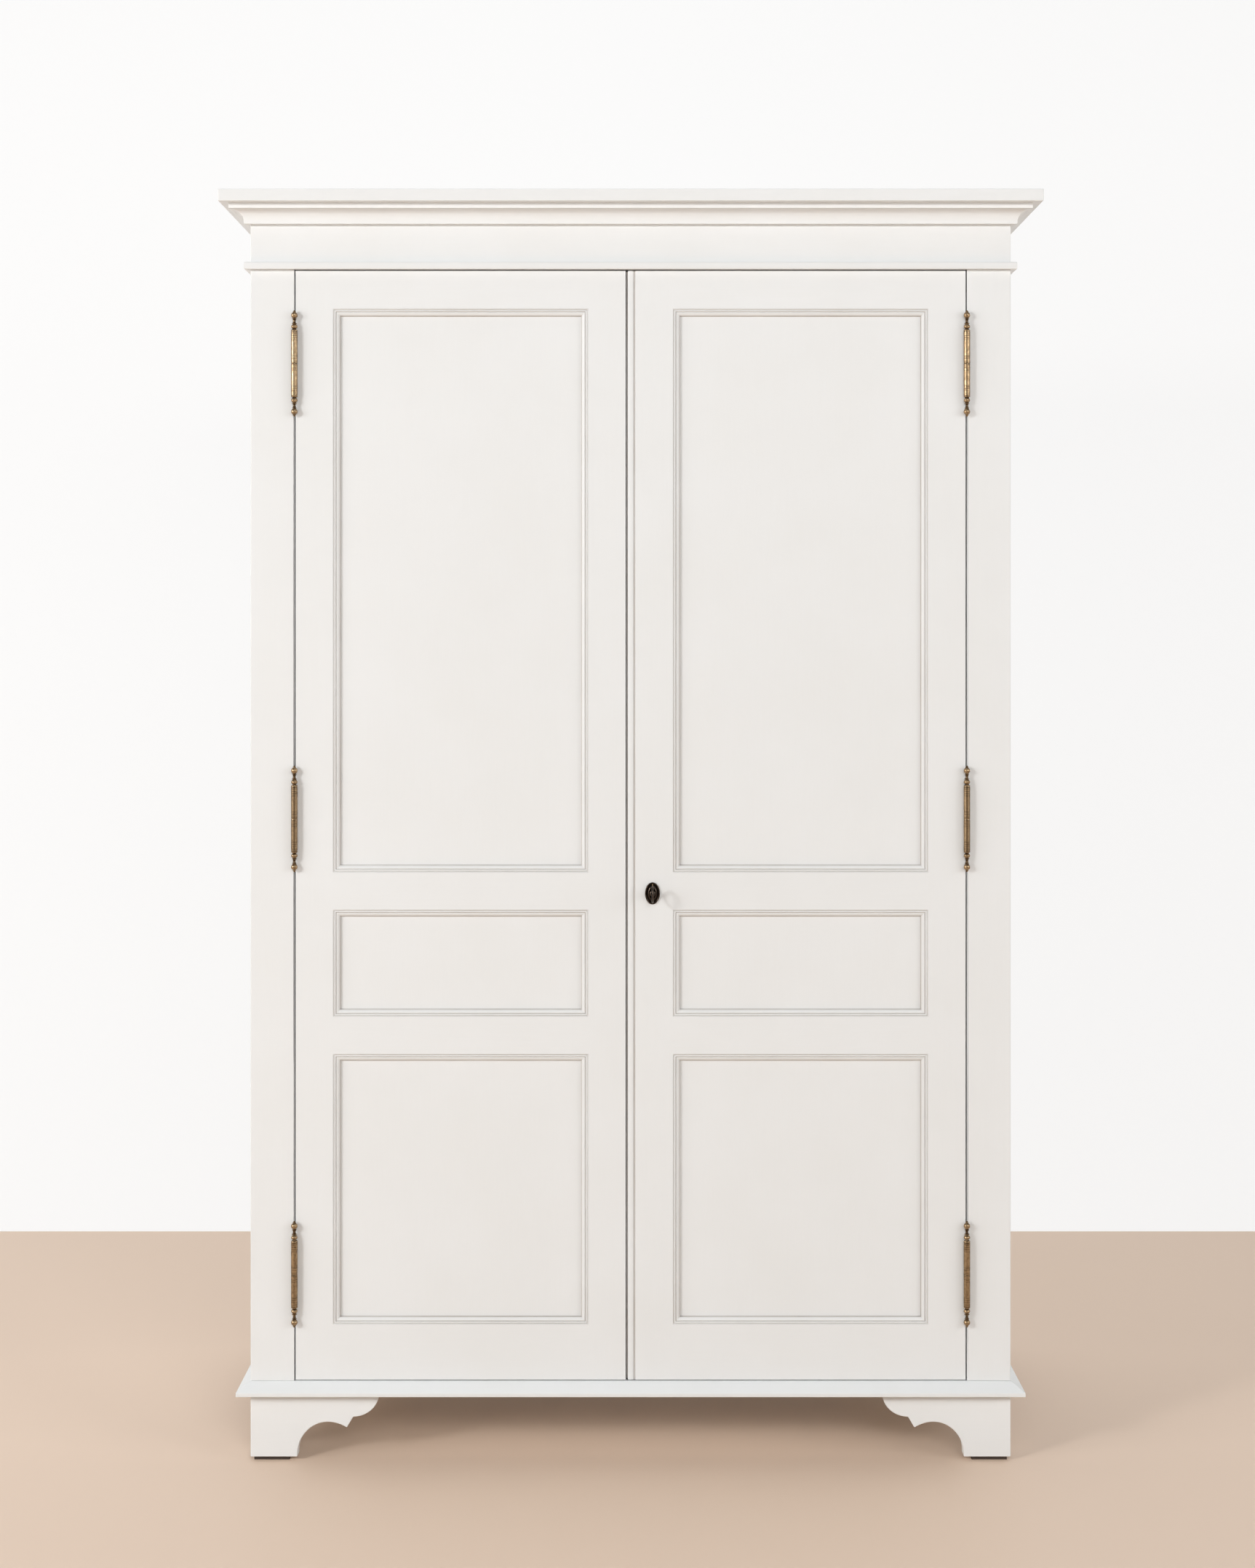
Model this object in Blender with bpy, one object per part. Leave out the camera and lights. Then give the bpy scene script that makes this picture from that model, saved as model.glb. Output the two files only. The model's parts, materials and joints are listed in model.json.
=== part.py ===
"""Two-door armoire with frame-and-panel doors, finial hinges, lock and flush bolts.

The cabinet stands on z = 0, its front faces -Y, and the origin is the middle of its footprint.
Every shape is computed in cabinet coordinates, then stored around its pivot's origin.
"""
import math

import bmesh
import bpy
from mathutils import Matrix, Vector

for leftover in list(bpy.data.objects):
    bpy.data.objects.remove(leftover, do_unlink=True)

MM = 0.001
GAP = 0.3 * MM                      # between faces that touch on the real cabinet

# ---- Driving sizes -------------------------------------------------------------------------
HEIGHT = 2000 * MM
BODY_WIDTH = 1200 * MM
BODY_DEPTH = 580 * MM
CORNICE_OVERHANG = 44 * MM
BASE_OVERHANG = 20 * MM
BOARD = 19 * MM                     # cornice board and base board
SIDE_THICK = 20 * MM
FACE_THICK = 22 * MM                # face frame and doors
BACK_THICK = 6 * MM
BACK_INSET = 4 * MM
FACE_STILE = 69 * MM
GLIDE_HEIGHT = 6 * MM
FOOT_HEIGHT = 101 * MM
DOOR_HEIGHT = 1751 * MM
DOOR_CLEARANCE = 2 * MM             # above and below the doors
HINGE_CLEARANCE = 2.2 * MM          # beside the doors
MEETING_HALF = 7.8 * MM             # the doors' frames end this far from the middle

# ---- Places worked out from them -----------------------------------------------------------
HALF = BODY_WIDTH / 2
FRONT = -(BODY_DEPTH - CORNICE_OVERHANG) / 2
BACK = FRONT + BODY_DEPTH
FACE_BACK = FRONT + FACE_THICK
INSIDE = HALF - SIDE_THICK
BASE_BOTTOM = GLIDE_HEIGHT + FOOT_HEIGHT
BASE_TOP = BASE_BOTTOM + BOARD
DOOR_BOTTOM = BASE_TOP + DOOR_CLEARANCE
DOOR_TOP = DOOR_BOTTOM + DOOR_HEIGHT
FRIEZE_BOTTOM = DOOR_TOP + DOOR_CLEARANCE
CROWN_BOTTOM = HEIGHT - BOARD
DOOR_OUTER = HALF - FACE_STILE - HINGE_CLEARANCE

# ---- Doors ---------------------------------------------------------------------------------
STILE = 59 * MM
RAILS = (("bottom_rail", 87 * MM), ("lower_rail", 59 * MM), ("lock_rail", 59 * MM), ("top_rail", 60 * MM))
PANELS = (("lower_panel", 427 * MM), ("middle_panel", 169 * MM), ("upper_panel", 890 * MM))
PANEL_THICK = 6 * MM
PANEL_RECESS = 8 * MM
GROOVE_DEPTH = 8 * MM
GROOVE_STOP = 6 * MM                # the stiles' grooves end this far from the door's ends
BEAD_LEFT, BEAD_RIGHT = -4.3 * MM, 7.5 * MM

# ---- Hinges --------------------------------------------------------------------------------
HINGE_X = 530 * MM
HINGE_Y = FRONT - 5.5 * MM
HINGE_MIDDLE = 1014 * MM
HINGE_SPACING = 718 * MM
HINGE_PLACES = (("bottom", -1), ("middle", 0), ("top", 1))
BARREL_RADIUS = 5.1 * MM
BARREL_HALF = 52.8 * MM
PIN_RADIUS, PIN_LENGTH = 2.5 * MM, 39 * MM
BORE_RADIUS, BORE_LENGTH = 2.8 * MM, 42 * MM
BARREL_GAP = 0.2 * MM               # half the gap between the two barrels
LEAF_OFFSET, LEAF_THICK = 1.2 * MM, 1.2 * MM
LEAF_LOW, LEAF_HIGH = 3 * MM, 51 * MM
LEAF_START, LEAF_END = 3.3 * MM, 25.5 * MM

# ---- Lock, key and bolts -------------------------------------------------------------------
KEY_X, KEY_Z = 34.5 * MM, 897 * MM
KEY_FRONT = FRONT - 36 * MM
SHANK_RADIUS = 3 * MM
BIT_RADIUS = 12 * MM
KEYHOLE_RADIUS, KEYHOLE_SLOT, KEYHOLE_REACH = 3.6 * MM, 3.6 * MM, 13.4 * MM
CASE_LEFT, CASE_RIGHT = 14 * MM, 62 * MM
CASE_BOTTOM, CASE_TOP = 881 * MM, 927 * MM
CASE_DEPTH, CASE_WALL = 15 * MM, 1.5 * MM
LOCK_BOLT_HEIGHT, LOCK_BOLT_THICK, LOCK_BOLT_LENGTH = 12 * MM, 6 * MM, 30 * MM
LOCK_BOLT_BOTTOM = KEY_Z + 13.5 * MM
LOCK_BOLT_FRONT = -240 * MM
POST_LEFT, POST_RIGHT = -26 * MM, 10 * MM
ROD_X, ROD_Y = -16.5 * MM, (FRONT + FACE_BACK) / 2
ROD_RADIUS, SOCKET_HALF = 3 * MM, 4.9 * MM
ROD_LENGTH = 78 * MM
THROW = 12 * MM                     # lock bolt and flush bolts

# ---- Inside --------------------------------------------------------------------------------
SHELF_BOTTOM, SHELF_THICK = 1640 * MM, 18 * MM
RAIL_Y, RAIL_Z, RAIL_RADIUS = 30 * MM, 1590 * MM, 12.5 * MM

FINISHES = {                        # colour, metallic, roughness
    "white_paint": ((0.82, 0.80, 0.76), 0.0, 0.42),
    "inside_paint": ((0.78, 0.76, 0.72), 0.0, 0.55),
    "antique_brass": ((0.36, 0.25, 0.11), 1.0, 0.38),
    "dark_bronze": ((0.055, 0.043, 0.036), 1.0, 0.42),
    "steel": ((0.52, 0.51, 0.49), 1.0, 0.35),
    "glide_rubber": ((0.035, 0.028, 0.024), 0.0, 0.8),
}


# ---- Objects -------------------------------------------------------------------------------
def world_place(item):
    """Where an unrotated object stands: its own offset and its parents' added up."""
    place = Vector()
    while item:
        place += item.location
        item = item.parent
    return place


def pivot(name, place, parent=None):
    """An empty on a joint's axis, which the moving pieces hang on."""
    empty = bpy.data.objects.new(name, None)
    bpy.context.scene.collection.objects.link(empty)
    empty.parent = parent
    empty.location = Vector(place) - world_place(parent)
    return empty


def finished(name, finish):
    """A Principled material of its own for one sub-part."""
    colour, metallic, roughness = FINISHES[finish]
    material = bpy.data.materials.new(name + "_" + finish)
    material.use_nodes = True
    shader = material.node_tree.nodes["Principled BSDF"]
    shader.inputs["Base Color"].default_value = (*colour, 1)
    shader.inputs["Metallic"].default_value = metallic
    shader.inputs["Roughness"].default_value = roughness
    return material


def link_mesh(name, bm, parent):
    """Turn a bmesh in cabinet coordinates into an object with its origin on its parent's."""
    bmesh.ops.recalc_face_normals(bm, faces=bm.faces)
    mesh = bpy.data.meshes.new(name)
    bm.to_mesh(mesh)
    bm.free()
    mesh.transform(Matrix.Translation(-world_place(parent)))
    item = bpy.data.objects.new(name, mesh)
    bpy.context.scene.collection.objects.link(item)
    item.parent = parent
    return item


def part(name, bm, parent, finish="white_paint", smooth=False):
    """One named sub-part with its material."""
    item = link_mesh(name, bm, parent)
    item.data.materials.append(finished(name, finish))
    if smooth:
        item.data.shade_smooth()
        item.data.set_sharp_from_angle(angle=math.radians(35))
    return item


def combine(target, bm, operation, label):
    """Cut or join a hidden helper shape with the target."""
    helper = link_mesh(target.name + "_" + label, bm, target.parent)
    helper.hide_render = True
    helper.display_type = "WIRE"
    modifier = target.modifiers.new(label, "BOOLEAN")
    modifier.operation = operation
    modifier.solver = "EXACT"
    modifier.object = helper


# ---- Shapes --------------------------------------------------------------------------------
def boxes(*corner_pairs):
    """Plain boards, each from its lowest to its highest corner."""
    bm = bmesh.new()
    for low, high in corner_pairs:
        low, high = Vector(low), Vector(high)
        placed = Matrix.Translation((low + high) / 2) @ Matrix.Diagonal((high - low).to_4d())
        bmesh.ops.create_cube(bm, size=1, matrix=placed)
    return bm


def span_x(side, near, far):
    """The x range between two distances from the middle, on the left (-1) or the right (1)."""
    return min(side * near, side * far), max(side * near, side * far)


def prism(outline, direction):
    """A flat outline pushed along a direction."""
    bm = bmesh.new()
    start = [bm.verts.new(point) for point in outline]
    end = [bm.verts.new(Vector(point) + Vector(direction)) for point in outline]
    bm.faces.new(start)
    bm.faces.new(end)
    for i, corner in enumerate(start):
        bm.faces.new((corner, start[i - 1], end[i - 1], end[i]))
    return bm


def turned(profile, centre, spin_axis=(0, 0, 1), steps=12):
    """A turned solid. The profile lists (radius, distance) from one end of the axis to the other."""
    bm = bmesh.new()
    line = [bm.verts.new((radius, 0, along)) for radius, along in profile]
    edges = [bm.edges.new(pair) for pair in zip(line, line[1:])]
    bmesh.ops.spin(bm, geom=line + edges, angle=math.tau, steps=steps, axis=(0, 0, 1), cent=(0, 0, 0))
    bmesh.ops.remove_doubles(bm, verts=bm.verts, dist=1e-6)
    turn = Vector((0, 0, 1)).rotation_difference(Vector(spin_axis)).to_matrix().to_4x4()
    bm.transform(Matrix.Translation(centre) @ turn)
    return bm


def ellipse(centre, half_x, half_z, steps, y):
    """Points round an upright ellipse in the plane y."""
    angles = [math.tau * i / steps for i in range(steps)]
    return [(centre[0] + half_x * math.cos(a), y, centre[1] + half_z * math.sin(a)) for a in angles]


def round_rod(x, y, low, high, radius, steps=12):
    return turned([(0, low), (radius, low), (radius, high), (0, high)], (x, y, 0), steps=steps)


# ---- Mouldings that run round the front and both sides ---------------------------------------
def three_sides(overhang, z):
    """The four stations of a line that runs round the left side, the front and the right side."""
    x, y = HALF + overhang, FRONT - overhang
    return (-x, BACK, z), (-x, y, z), (x, y, z), (x, BACK, z)


def moulded_board(profile):
    """A full board whose front and side edges follow (overhang, height) points, bottom to top."""
    bm = bmesh.new()
    rings = [[bm.verts.new(point) for point in three_sides(*step)] for step in profile]
    for lower, upper in zip(rings, rings[1:]):
        for i in range(4):
            bm.faces.new((lower[i - 1], lower[i], upper[i], upper[i - 1]))
    bm.faces.new(rings[0])
    bm.faces.new(rings[-1])
    return bm


def mitred_moulding(profile):
    """A closed (overhang, height) section carried round three sides, with mitred corners."""
    bm = bmesh.new()
    rows = [[bm.verts.new(point) for point in three_sides(*step)] for step in profile]
    for i, row in enumerate(rows):
        before = rows[i - 1]
        for j in range(3):
            bm.faces.new((before[j], row[j], row[j + 1], before[j + 1]))
    for end in (0, 3):
        bm.faces.new([row[end] for row in rows])
    return bm


def quarter(centre, half_across, half_up, start, end, steps):
    """Points along a stretch of an ellipse, angles in degrees from the across axis."""
    points = []
    for i in range(steps + 1):
        angle = math.radians(start + (end - start) * i / steps)
        points.append((centre[0] + half_across * math.cos(angle), centre[1] + half_up * math.sin(angle)))
    return points


def base_profile():
    """An upright lip with a slope above it that rises to the body."""
    lip = 6.5 * MM
    return [(BASE_OVERHANG, BASE_BOTTOM), (BASE_OVERHANG, BASE_BOTTOM + lip), (MM, BASE_TOP)]


def neck_profile():
    low, depth, height = FRIEZE_BOTTOM, 9 * MM, 11 * MM
    return [(GAP, low), (depth, low), (depth, low + height - 3 * MM), (depth - 2 * MM, low + height),
            (GAP, low + height)]


def cove_profile():
    fillet, strip = 9 * MM, 29.5 * MM
    low, top = 1951.5 * MM, CROWN_BOTTOM - GAP
    cove_low, cove_high, cove_out = low + 2.5 * MM, low + 21 * MM, 25 * MM
    cove = quarter((cove_out, cove_low), cove_out - fillet, cove_high - cove_low, 180, 90, 6)
    return [(GAP, low), (fillet, low)] + cove + [(strip, cove_high), (strip, top), (GAP, top)]


# ---- Feet ----------------------------------------------------------------------------------
def wing_outline():
    """One wing of a bracket foot from the leg's end to the top, as (distance, height) points."""
    leg, peak, cusp = (74 * MM, 10 * MM), (122 * MM, 61 * MM), (152 * MM, 52 * MM)
    ear_low, reach, top = (162 * MM, 69 * MM), 203 * MM, BASE_BOTTOM - GAP
    arch = quarter((peak[0], leg[1]), peak[0] - leg[0], peak[1] - leg[1], 180, 90, 7)
    fall = []
    for i in (1, 2, 3):
        share = i / 3
        fall.append((peak[0] + (cusp[0] - peak[0]) * share, peak[1] - (peak[1] - cusp[1]) * share ** 2))
    ear = quarter((ear_low[0], top), reach - ear_low[0], top - ear_low[1], -90, 0, 6)
    return [(leg[0], GLIDE_HEIGHT)] + arch + fall + ear


def bracket_foot(side, front):
    """Two mitred wings folded round the cabinet's corner, as one shell of even thickness."""
    corner_x, corner_y = side * HALF, FRONT if front else BACK
    step_x, step_y = -side, 1 if front else -1
    top = BASE_BOTTOM - GAP
    wing = wing_outline()

    def skin(inset):
        def place(along_x, along_y, z):
            return corner_x + step_x * along_x, corner_y + step_y * along_y, z
        across = [place(distance, inset, z) for distance, z in wing]
        along = [place(inset, distance, z) for distance, z in wing]
        return [place(inset, inset, GLIDE_HEIGHT)] + across + [place(inset, inset, top)] + along[::-1]

    bm = bmesh.new()
    outer = [bm.verts.new(point) for point in skin(0)]
    inner = [bm.verts.new(point) for point in skin(FACE_THICK)]
    for loop in (outer, inner):
        fold = len(wing) + 1
        bm.faces.new(loop[:fold + 1])
        bm.faces.new([loop[0]] + loop[fold:])
    for i in range(len(outer)):
        bm.faces.new((outer[i - 1], outer[i], inner[i], inner[i - 1]))
    return bm


def make_feet(parent):
    for side, side_name in ((-1, "left"), (1, "right")):
        for front, depth_name in ((True, "front"), (False, "back")):
            name = depth_name + "_" + side_name
            foot = part("foot_" + name, bracket_foot(side, front), parent)
            edge_y, step_y = (FRONT, 1) if front else (BACK, -1)
            near, far = FACE_THICK - 5 * MM, FACE_THICK + 42 * MM
            x_low, x_high = span_x(side, HALF - far, HALF - near)
            y_low, y_high = sorted((edge_y + step_y * near, edge_y + step_y * far))
            block = boxes(((x_low, y_low, GLIDE_HEIGHT + 2 * MM), (x_high, y_high, BASE_BOTTOM - 4 * MM)))
            combine(foot, block, "UNION", "corner_block")
            pad = 56 * MM
            x_low, x_high = span_x(side, HALF - 5 * MM - pad, HALF - 5 * MM)
            y_low, y_high = sorted((edge_y + step_y * 5 * MM, edge_y + step_y * (5 * MM + pad)))
            glide = boxes(((x_low, y_low, 0), (x_high, y_high, GLIDE_HEIGHT - GAP)))
            part("glide_" + name, glide, parent, "glide_rubber")


# ---- Carcass -------------------------------------------------------------------------------
def bolt_socket(low, high):
    """A square hole that a flush bolt's rod enters with room to spare."""
    return boxes(((ROD_X - SOCKET_HALF, ROD_Y - SOCKET_HALF, low),
                  (ROD_X + SOCKET_HALF, ROD_Y + SOCKET_HALF, high)))


def make_carcass(parent):
    base = part("base_board", moulded_board(base_profile()), parent)
    combine(base, bolt_socket(BASE_TOP - THROW - MM, BASE_TOP + 5 * MM), "DIFFERENCE", "bolt_socket")
    low, high = BASE_TOP + GAP, CROWN_BOTTOM - GAP
    for side, name in ((-1, "left"), (1, "right")):
        x_low, x_high = span_x(side, INSIDE, HALF)
        part(name + "_side_panel", boxes(((x_low, FACE_BACK + GAP, low), (x_high, BACK, high))), parent)
        x_low, x_high = span_x(side, HALF - FACE_STILE, HALF)
        stile = boxes(((x_low, FRONT, low), (x_high, FACE_BACK, FRIEZE_BOTTOM - GAP)))
        stile = part(name + "_face_stile", stile, parent)
        combine(stile, leaf_mortises(side, "frame"), "DIFFERENCE", "leaf_mortises")
    inner = INSIDE - GAP
    back = boxes(((-inner, BACK - BACK_INSET - BACK_THICK, low), (inner, BACK - BACK_INSET, high)))
    part("back_panel", back, parent, "inside_paint")
    frieze = part("frieze_rail", boxes(((-HALF, FRONT, FRIEZE_BOTTOM), (HALF, FACE_BACK, high))), parent)
    combine(frieze, bolt_socket(FRIEZE_BOTTOM - 5 * MM, FRIEZE_BOTTOM + THROW), "DIFFERENCE", "bolt_socket")
    post = boxes(((POST_LEFT, FACE_BACK + GAP, low), (POST_RIGHT, FACE_BACK + FACE_THICK, high)))
    post = part("centre_post", post, parent)
    room = MM
    mortice = boxes(((POST_RIGHT - THROW, LOCK_BOLT_FRONT - room, LOCK_BOLT_BOTTOM - room),
                     (POST_RIGHT + 5 * MM, LOCK_BOLT_FRONT + LOCK_BOLT_THICK + room,
                      LOCK_BOLT_BOTTOM + LOCK_BOLT_HEIGHT + room)))
    combine(post, mortice, "DIFFERENCE", "lock_mortice")
    part("neck_moulding", mitred_moulding(neck_profile()), parent)
    part("cornice_moulding", mitred_moulding(cove_profile()), parent)
    part("cornice_board", moulded_board([(CORNICE_OVERHANG, CROWN_BOTTOM), (CORNICE_OVERHANG, HEIGHT)]),
         parent)
    shelf_front, shelf_back = -218 * MM, BACK - BACK_INSET - BACK_THICK - GAP
    shelf = boxes(((-inner, shelf_front, SHELF_BOTTOM), (inner, shelf_back, SHELF_BOTTOM + SHELF_THICK)))
    part("hat_shelf", shelf, parent, "inside_paint")
    flange, plate = 24 * MM, 4 * MM
    profile = [(0, -inner), (flange, -inner), (flange, plate - inner), (RAIL_RADIUS, plate - inner)]
    profile += [(radius, -along) for radius, along in reversed(profile)]
    part("hanging_rail", turned(profile, (0, RAIL_Y, RAIL_Z), (1, 0, 0), 16), parent, "steel", True)


# ---- Hinges --------------------------------------------------------------------------------
def finial():
    """The turned end above a barrel: collar ball, neck, end ball and tip, from the barrel outwards."""
    collar = quarter((0, 58.1 * MM), BARREL_RADIUS, 3.9 * MM, -55, 55, 4)
    neck = [(2.4 * MM, 65 * MM), (2.4 * MM, 69 * MM)]
    ball = quarter((0, 76 * MM), BARREL_RADIUS, BARREL_RADIUS, -60, 62, 5)
    return collar + neck + ball + [(1.7 * MM, 82.5 * MM), (0, 84 * MM)]


def leaf_box(side, kind, middle, grow=0.0):
    """The leaf between door edge and face stile: the frame's below the joint, the door's above."""
    outward = side if kind == "frame" else -side
    near, far = LEAF_OFFSET - grow, LEAF_OFFSET + LEAF_THICK + grow
    x_low, x_high = sorted((side * HINGE_X + outward * near, side * HINGE_X + outward * far))
    z_low, z_high = (-LEAF_HIGH, -LEAF_LOW) if kind == "frame" else (LEAF_LOW, LEAF_HIGH)
    return ((x_low, HINGE_Y + LEAF_START, middle + z_low - grow),
            (x_high, HINGE_Y + LEAF_END + grow, middle + z_high + grow))


def hinge_heights():
    return [(name, HINGE_MIDDLE + step * HINGE_SPACING) for name, step in HINGE_PLACES]


def leaf_mortises(side, kind):
    """Shallow recesses for one stile's three leaves, open to the stile's edge and front."""
    recesses = []
    for _, middle in hinge_heights():
        low, high = leaf_box(side, kind, middle, GAP)
        toward_gap = 2 * MM
        gap_is_right = (side < 0) == (kind == "frame")
        low_x, high_x = (low[0], high[0] + toward_gap) if gap_is_right else (low[0] - toward_gap, high[0])
        recesses.append(((low_x, low[1], low[2]), (high_x, high[1], high[2])))
    return boxes(*recesses)


def make_hinges(side, side_name, frame_parent, door_parent):
    barrel = [(BARREL_RADIUS, BARREL_GAP), (BARREL_RADIUS, BARREL_HALF)] + finial()
    bore = [(0, BORE_LENGTH), (BORE_RADIUS, BORE_LENGTH), (BORE_RADIUS, BARREL_GAP)]
    pin = [(PIN_RADIUS, -BARREL_GAP), (PIN_RADIUS, PIN_LENGTH - MM), (1.8 * MM, PIN_LENGTH), (0, PIN_LENGTH)]
    lower = [(radius, -along) for radius, along in reversed(barrel)] + pin
    for place, middle in hinge_heights():
        centre = (side * HINGE_X, HINGE_Y, middle)
        for kind, profile, parent in (("frame", lower, frame_parent), ("door", bore + barrel, door_parent)):
            name = f"{side_name}_hinge_{place}_{kind}_leaf"
            leaf = part(name, turned(profile, centre), parent, "antique_brass", True)
            combine(leaf, boxes(leaf_box(side, kind, middle)), "UNION", "leaf")


# ---- Doors ---------------------------------------------------------------------------------
def door_levels():
    """Heights of the rails and the openings between them, from the door's bottom up."""
    rails, openings, z = [], [], DOOR_BOTTOM
    for i, (name, height) in enumerate(RAILS):
        rails.append((name, z, z + height))
        z += height
        if i < len(PANELS):
            opening_name, opening = PANELS[i]
            openings.append((opening_name, z, z + opening))
            z += opening
    return rails, openings


def make_door(side, side_name, parent):
    """Two grooved stiles, four rails on stub tongues and three panels let into the grooves."""
    rails, openings = door_levels()
    inner_low, inner_high = span_x(side, MEETING_HALF + STILE, DOOR_OUTER - STILE)
    tongue_front, tongue_back = FRONT + PANEL_RECESS, FRONT + PANEL_RECESS + PANEL_THICK
    stiles = {}
    for role, near, far in (("meeting_stile", MEETING_HALF, MEETING_HALF + STILE),
                            ("hinge_stile", DOOR_OUTER - STILE, DOOR_OUTER)):
        x_low, x_high = span_x(side, near, far)
        stile = boxes(((x_low, FRONT, DOOR_BOTTOM), (x_high, FACE_BACK, DOOR_TOP)))
        stiles[role] = part(f"{side_name}_door_{role}", stile, parent)
        groove = boxes(((inner_low - GROOVE_DEPTH, tongue_front - GAP, DOOR_BOTTOM + GROOVE_STOP),
                        (inner_high + GROOVE_DEPTH, tongue_back + GAP, DOOR_TOP - GROOVE_STOP)))
        combine(stiles[role], groove, "DIFFERENCE", "groove")
    combine(stiles["hinge_stile"], leaf_mortises(side, "door"), "DIFFERENCE", "leaf_mortises")
    for name, low, high in rails:
        grooved_below, grooved_above = low > DOOR_BOTTOM, high < DOOR_TOP - GAP
        rail = rail_section(low, high, grooved_below, grooved_above, tongue_front, tongue_back)
        rail = prism([(inner_low + GAP, y, z) for y, z in rail], (inner_high - inner_low - 2 * GAP, 0, 0))
        rail = part(f"{side_name}_door_{name}", rail, parent)
        tongue_low = low + (GROOVE_DEPTH if grooved_below else GROOVE_STOP) + GAP
        tongue_high = high - (GROOVE_DEPTH if grooved_above else GROOVE_STOP) - GAP
        reach = GROOVE_DEPTH - GAP
        tongue = boxes(((inner_low - reach, tongue_front, tongue_low),
                        (inner_high + reach, tongue_back, tongue_high)))
        combine(rail, tongue, "UNION", "tongues")
    edge = GROOVE_DEPTH - MM
    for name, low, high in openings:
        panel = boxes(((inner_low - edge, tongue_front, low - edge),
                       (inner_high + edge, tongue_back, high + edge)))
        part(f"{side_name}_door_{name}", panel, parent)
    return stiles


def rail_section(low, high, grooved_below, grooved_above, tongue_front, tongue_back):
    """A rail's section as (y, z) points, with a groove in each edge that holds a panel."""
    front_lip, back_lip = tongue_front - GAP, tongue_back + GAP
    section = [(FRONT, low)]
    if grooved_below:
        section += [(front_lip, low), (front_lip, low + GROOVE_DEPTH), (back_lip, low + GROOVE_DEPTH),
                    (back_lip, low)]
    section += [(FACE_BACK, low), (FACE_BACK, high)]
    if grooved_above:
        section += [(back_lip, high), (back_lip, high - GROOVE_DEPTH), (front_lip, high - GROOVE_DEPTH),
                    (front_lip, high)]
    return section + [(FRONT, high)]


def make_bead_strip(parent):
    """The upright strip on the right door's meeting edge, with a shallow round crown."""
    crown = 1.6 * MM
    middle, half = (BEAD_LEFT + BEAD_RIGHT) / 2, (BEAD_RIGHT - BEAD_LEFT) / 2
    arc = quarter((middle, FRONT + crown), half, crown, 180, 360, 8)
    outline = arc + [(BEAD_RIGHT, FACE_BACK), (BEAD_LEFT, FACE_BACK)]
    bead = prism([(x, y, DOOR_BOTTOM) for x, y in outline], (0, 0, DOOR_HEIGHT))
    part("right_door_bead_strip", bead, parent, smooth=True)


# ---- Lock and key --------------------------------------------------------------------------
def keyhole(y_front, y_back):
    """A round hole for the shank with a slot below it for the bit."""
    half = KEYHOLE_SLOT / 2
    meet = math.degrees(math.asin(half / KEYHOLE_RADIUS))
    arc = quarter((KEY_X, KEY_Z), KEYHOLE_RADIUS, KEYHOLE_RADIUS, -90 + meet, 270 - meet, 12)
    foot = KEY_Z - KEYHOLE_REACH
    outline = arc + [(KEY_X - half, foot), (KEY_X + half, foot)]
    return prism([(x, y_front, z) for x, z in outline], (0, y_back - y_front, 0))


def make_lock(meeting_stile, door_parent, bolt_parent, key_parent):
    combine(meeting_stile, keyhole(FRONT - 5 * MM, FACE_BACK + 5 * MM), "DIFFERENCE", "keyhole")
    plate_thick = 2.4 * MM
    plate_back = FRONT - GAP
    plate = ellipse((KEY_X, KEY_Z - MM), 11.75 * MM, 17.4 * MM, 24, plate_back)
    plate = part("escutcheon", prism(plate, (0, -plate_thick, 0)), door_parent, "dark_bronze", True)
    combine(plate, keyhole(plate_back - 8 * MM, plate_back + 4 * MM), "DIFFERENCE", "keyhole")

    case_front = FACE_BACK + GAP
    case_back = case_front + CASE_DEPTH
    case = part("lock_case", boxes(((CASE_LEFT, case_front, CASE_BOTTOM), (CASE_RIGHT, case_back, CASE_TOP))),
                door_parent, "steel")
    combine(case, boxes(((CASE_LEFT + CASE_WALL, case_front - 5 * MM, CASE_BOTTOM + CASE_WALL),
                         (CASE_RIGHT - CASE_WALL, case_back - CASE_WALL, CASE_TOP - CASE_WALL))),
            "DIFFERENCE", "hollow")
    bolt_low = (CASE_LEFT + 0.5 * MM, LOCK_BOLT_FRONT, LOCK_BOLT_BOTTOM)
    bolt_high = (bolt_low[0] + LOCK_BOLT_LENGTH, LOCK_BOLT_FRONT + LOCK_BOLT_THICK,
                 LOCK_BOLT_BOTTOM + LOCK_BOLT_HEIGHT)
    slot = boxes(((CASE_LEFT - 5 * MM, bolt_low[1] - GAP, bolt_low[2] - GAP),
                  (CASE_LEFT + 5 * MM, bolt_high[1] + GAP, bolt_high[2] + GAP)))
    combine(case, slot, "DIFFERENCE", "bolt_slot")
    part("lock_bolt", boxes((bolt_low, bolt_high)), bolt_parent, "antique_brass")
    make_key(key_parent)


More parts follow.
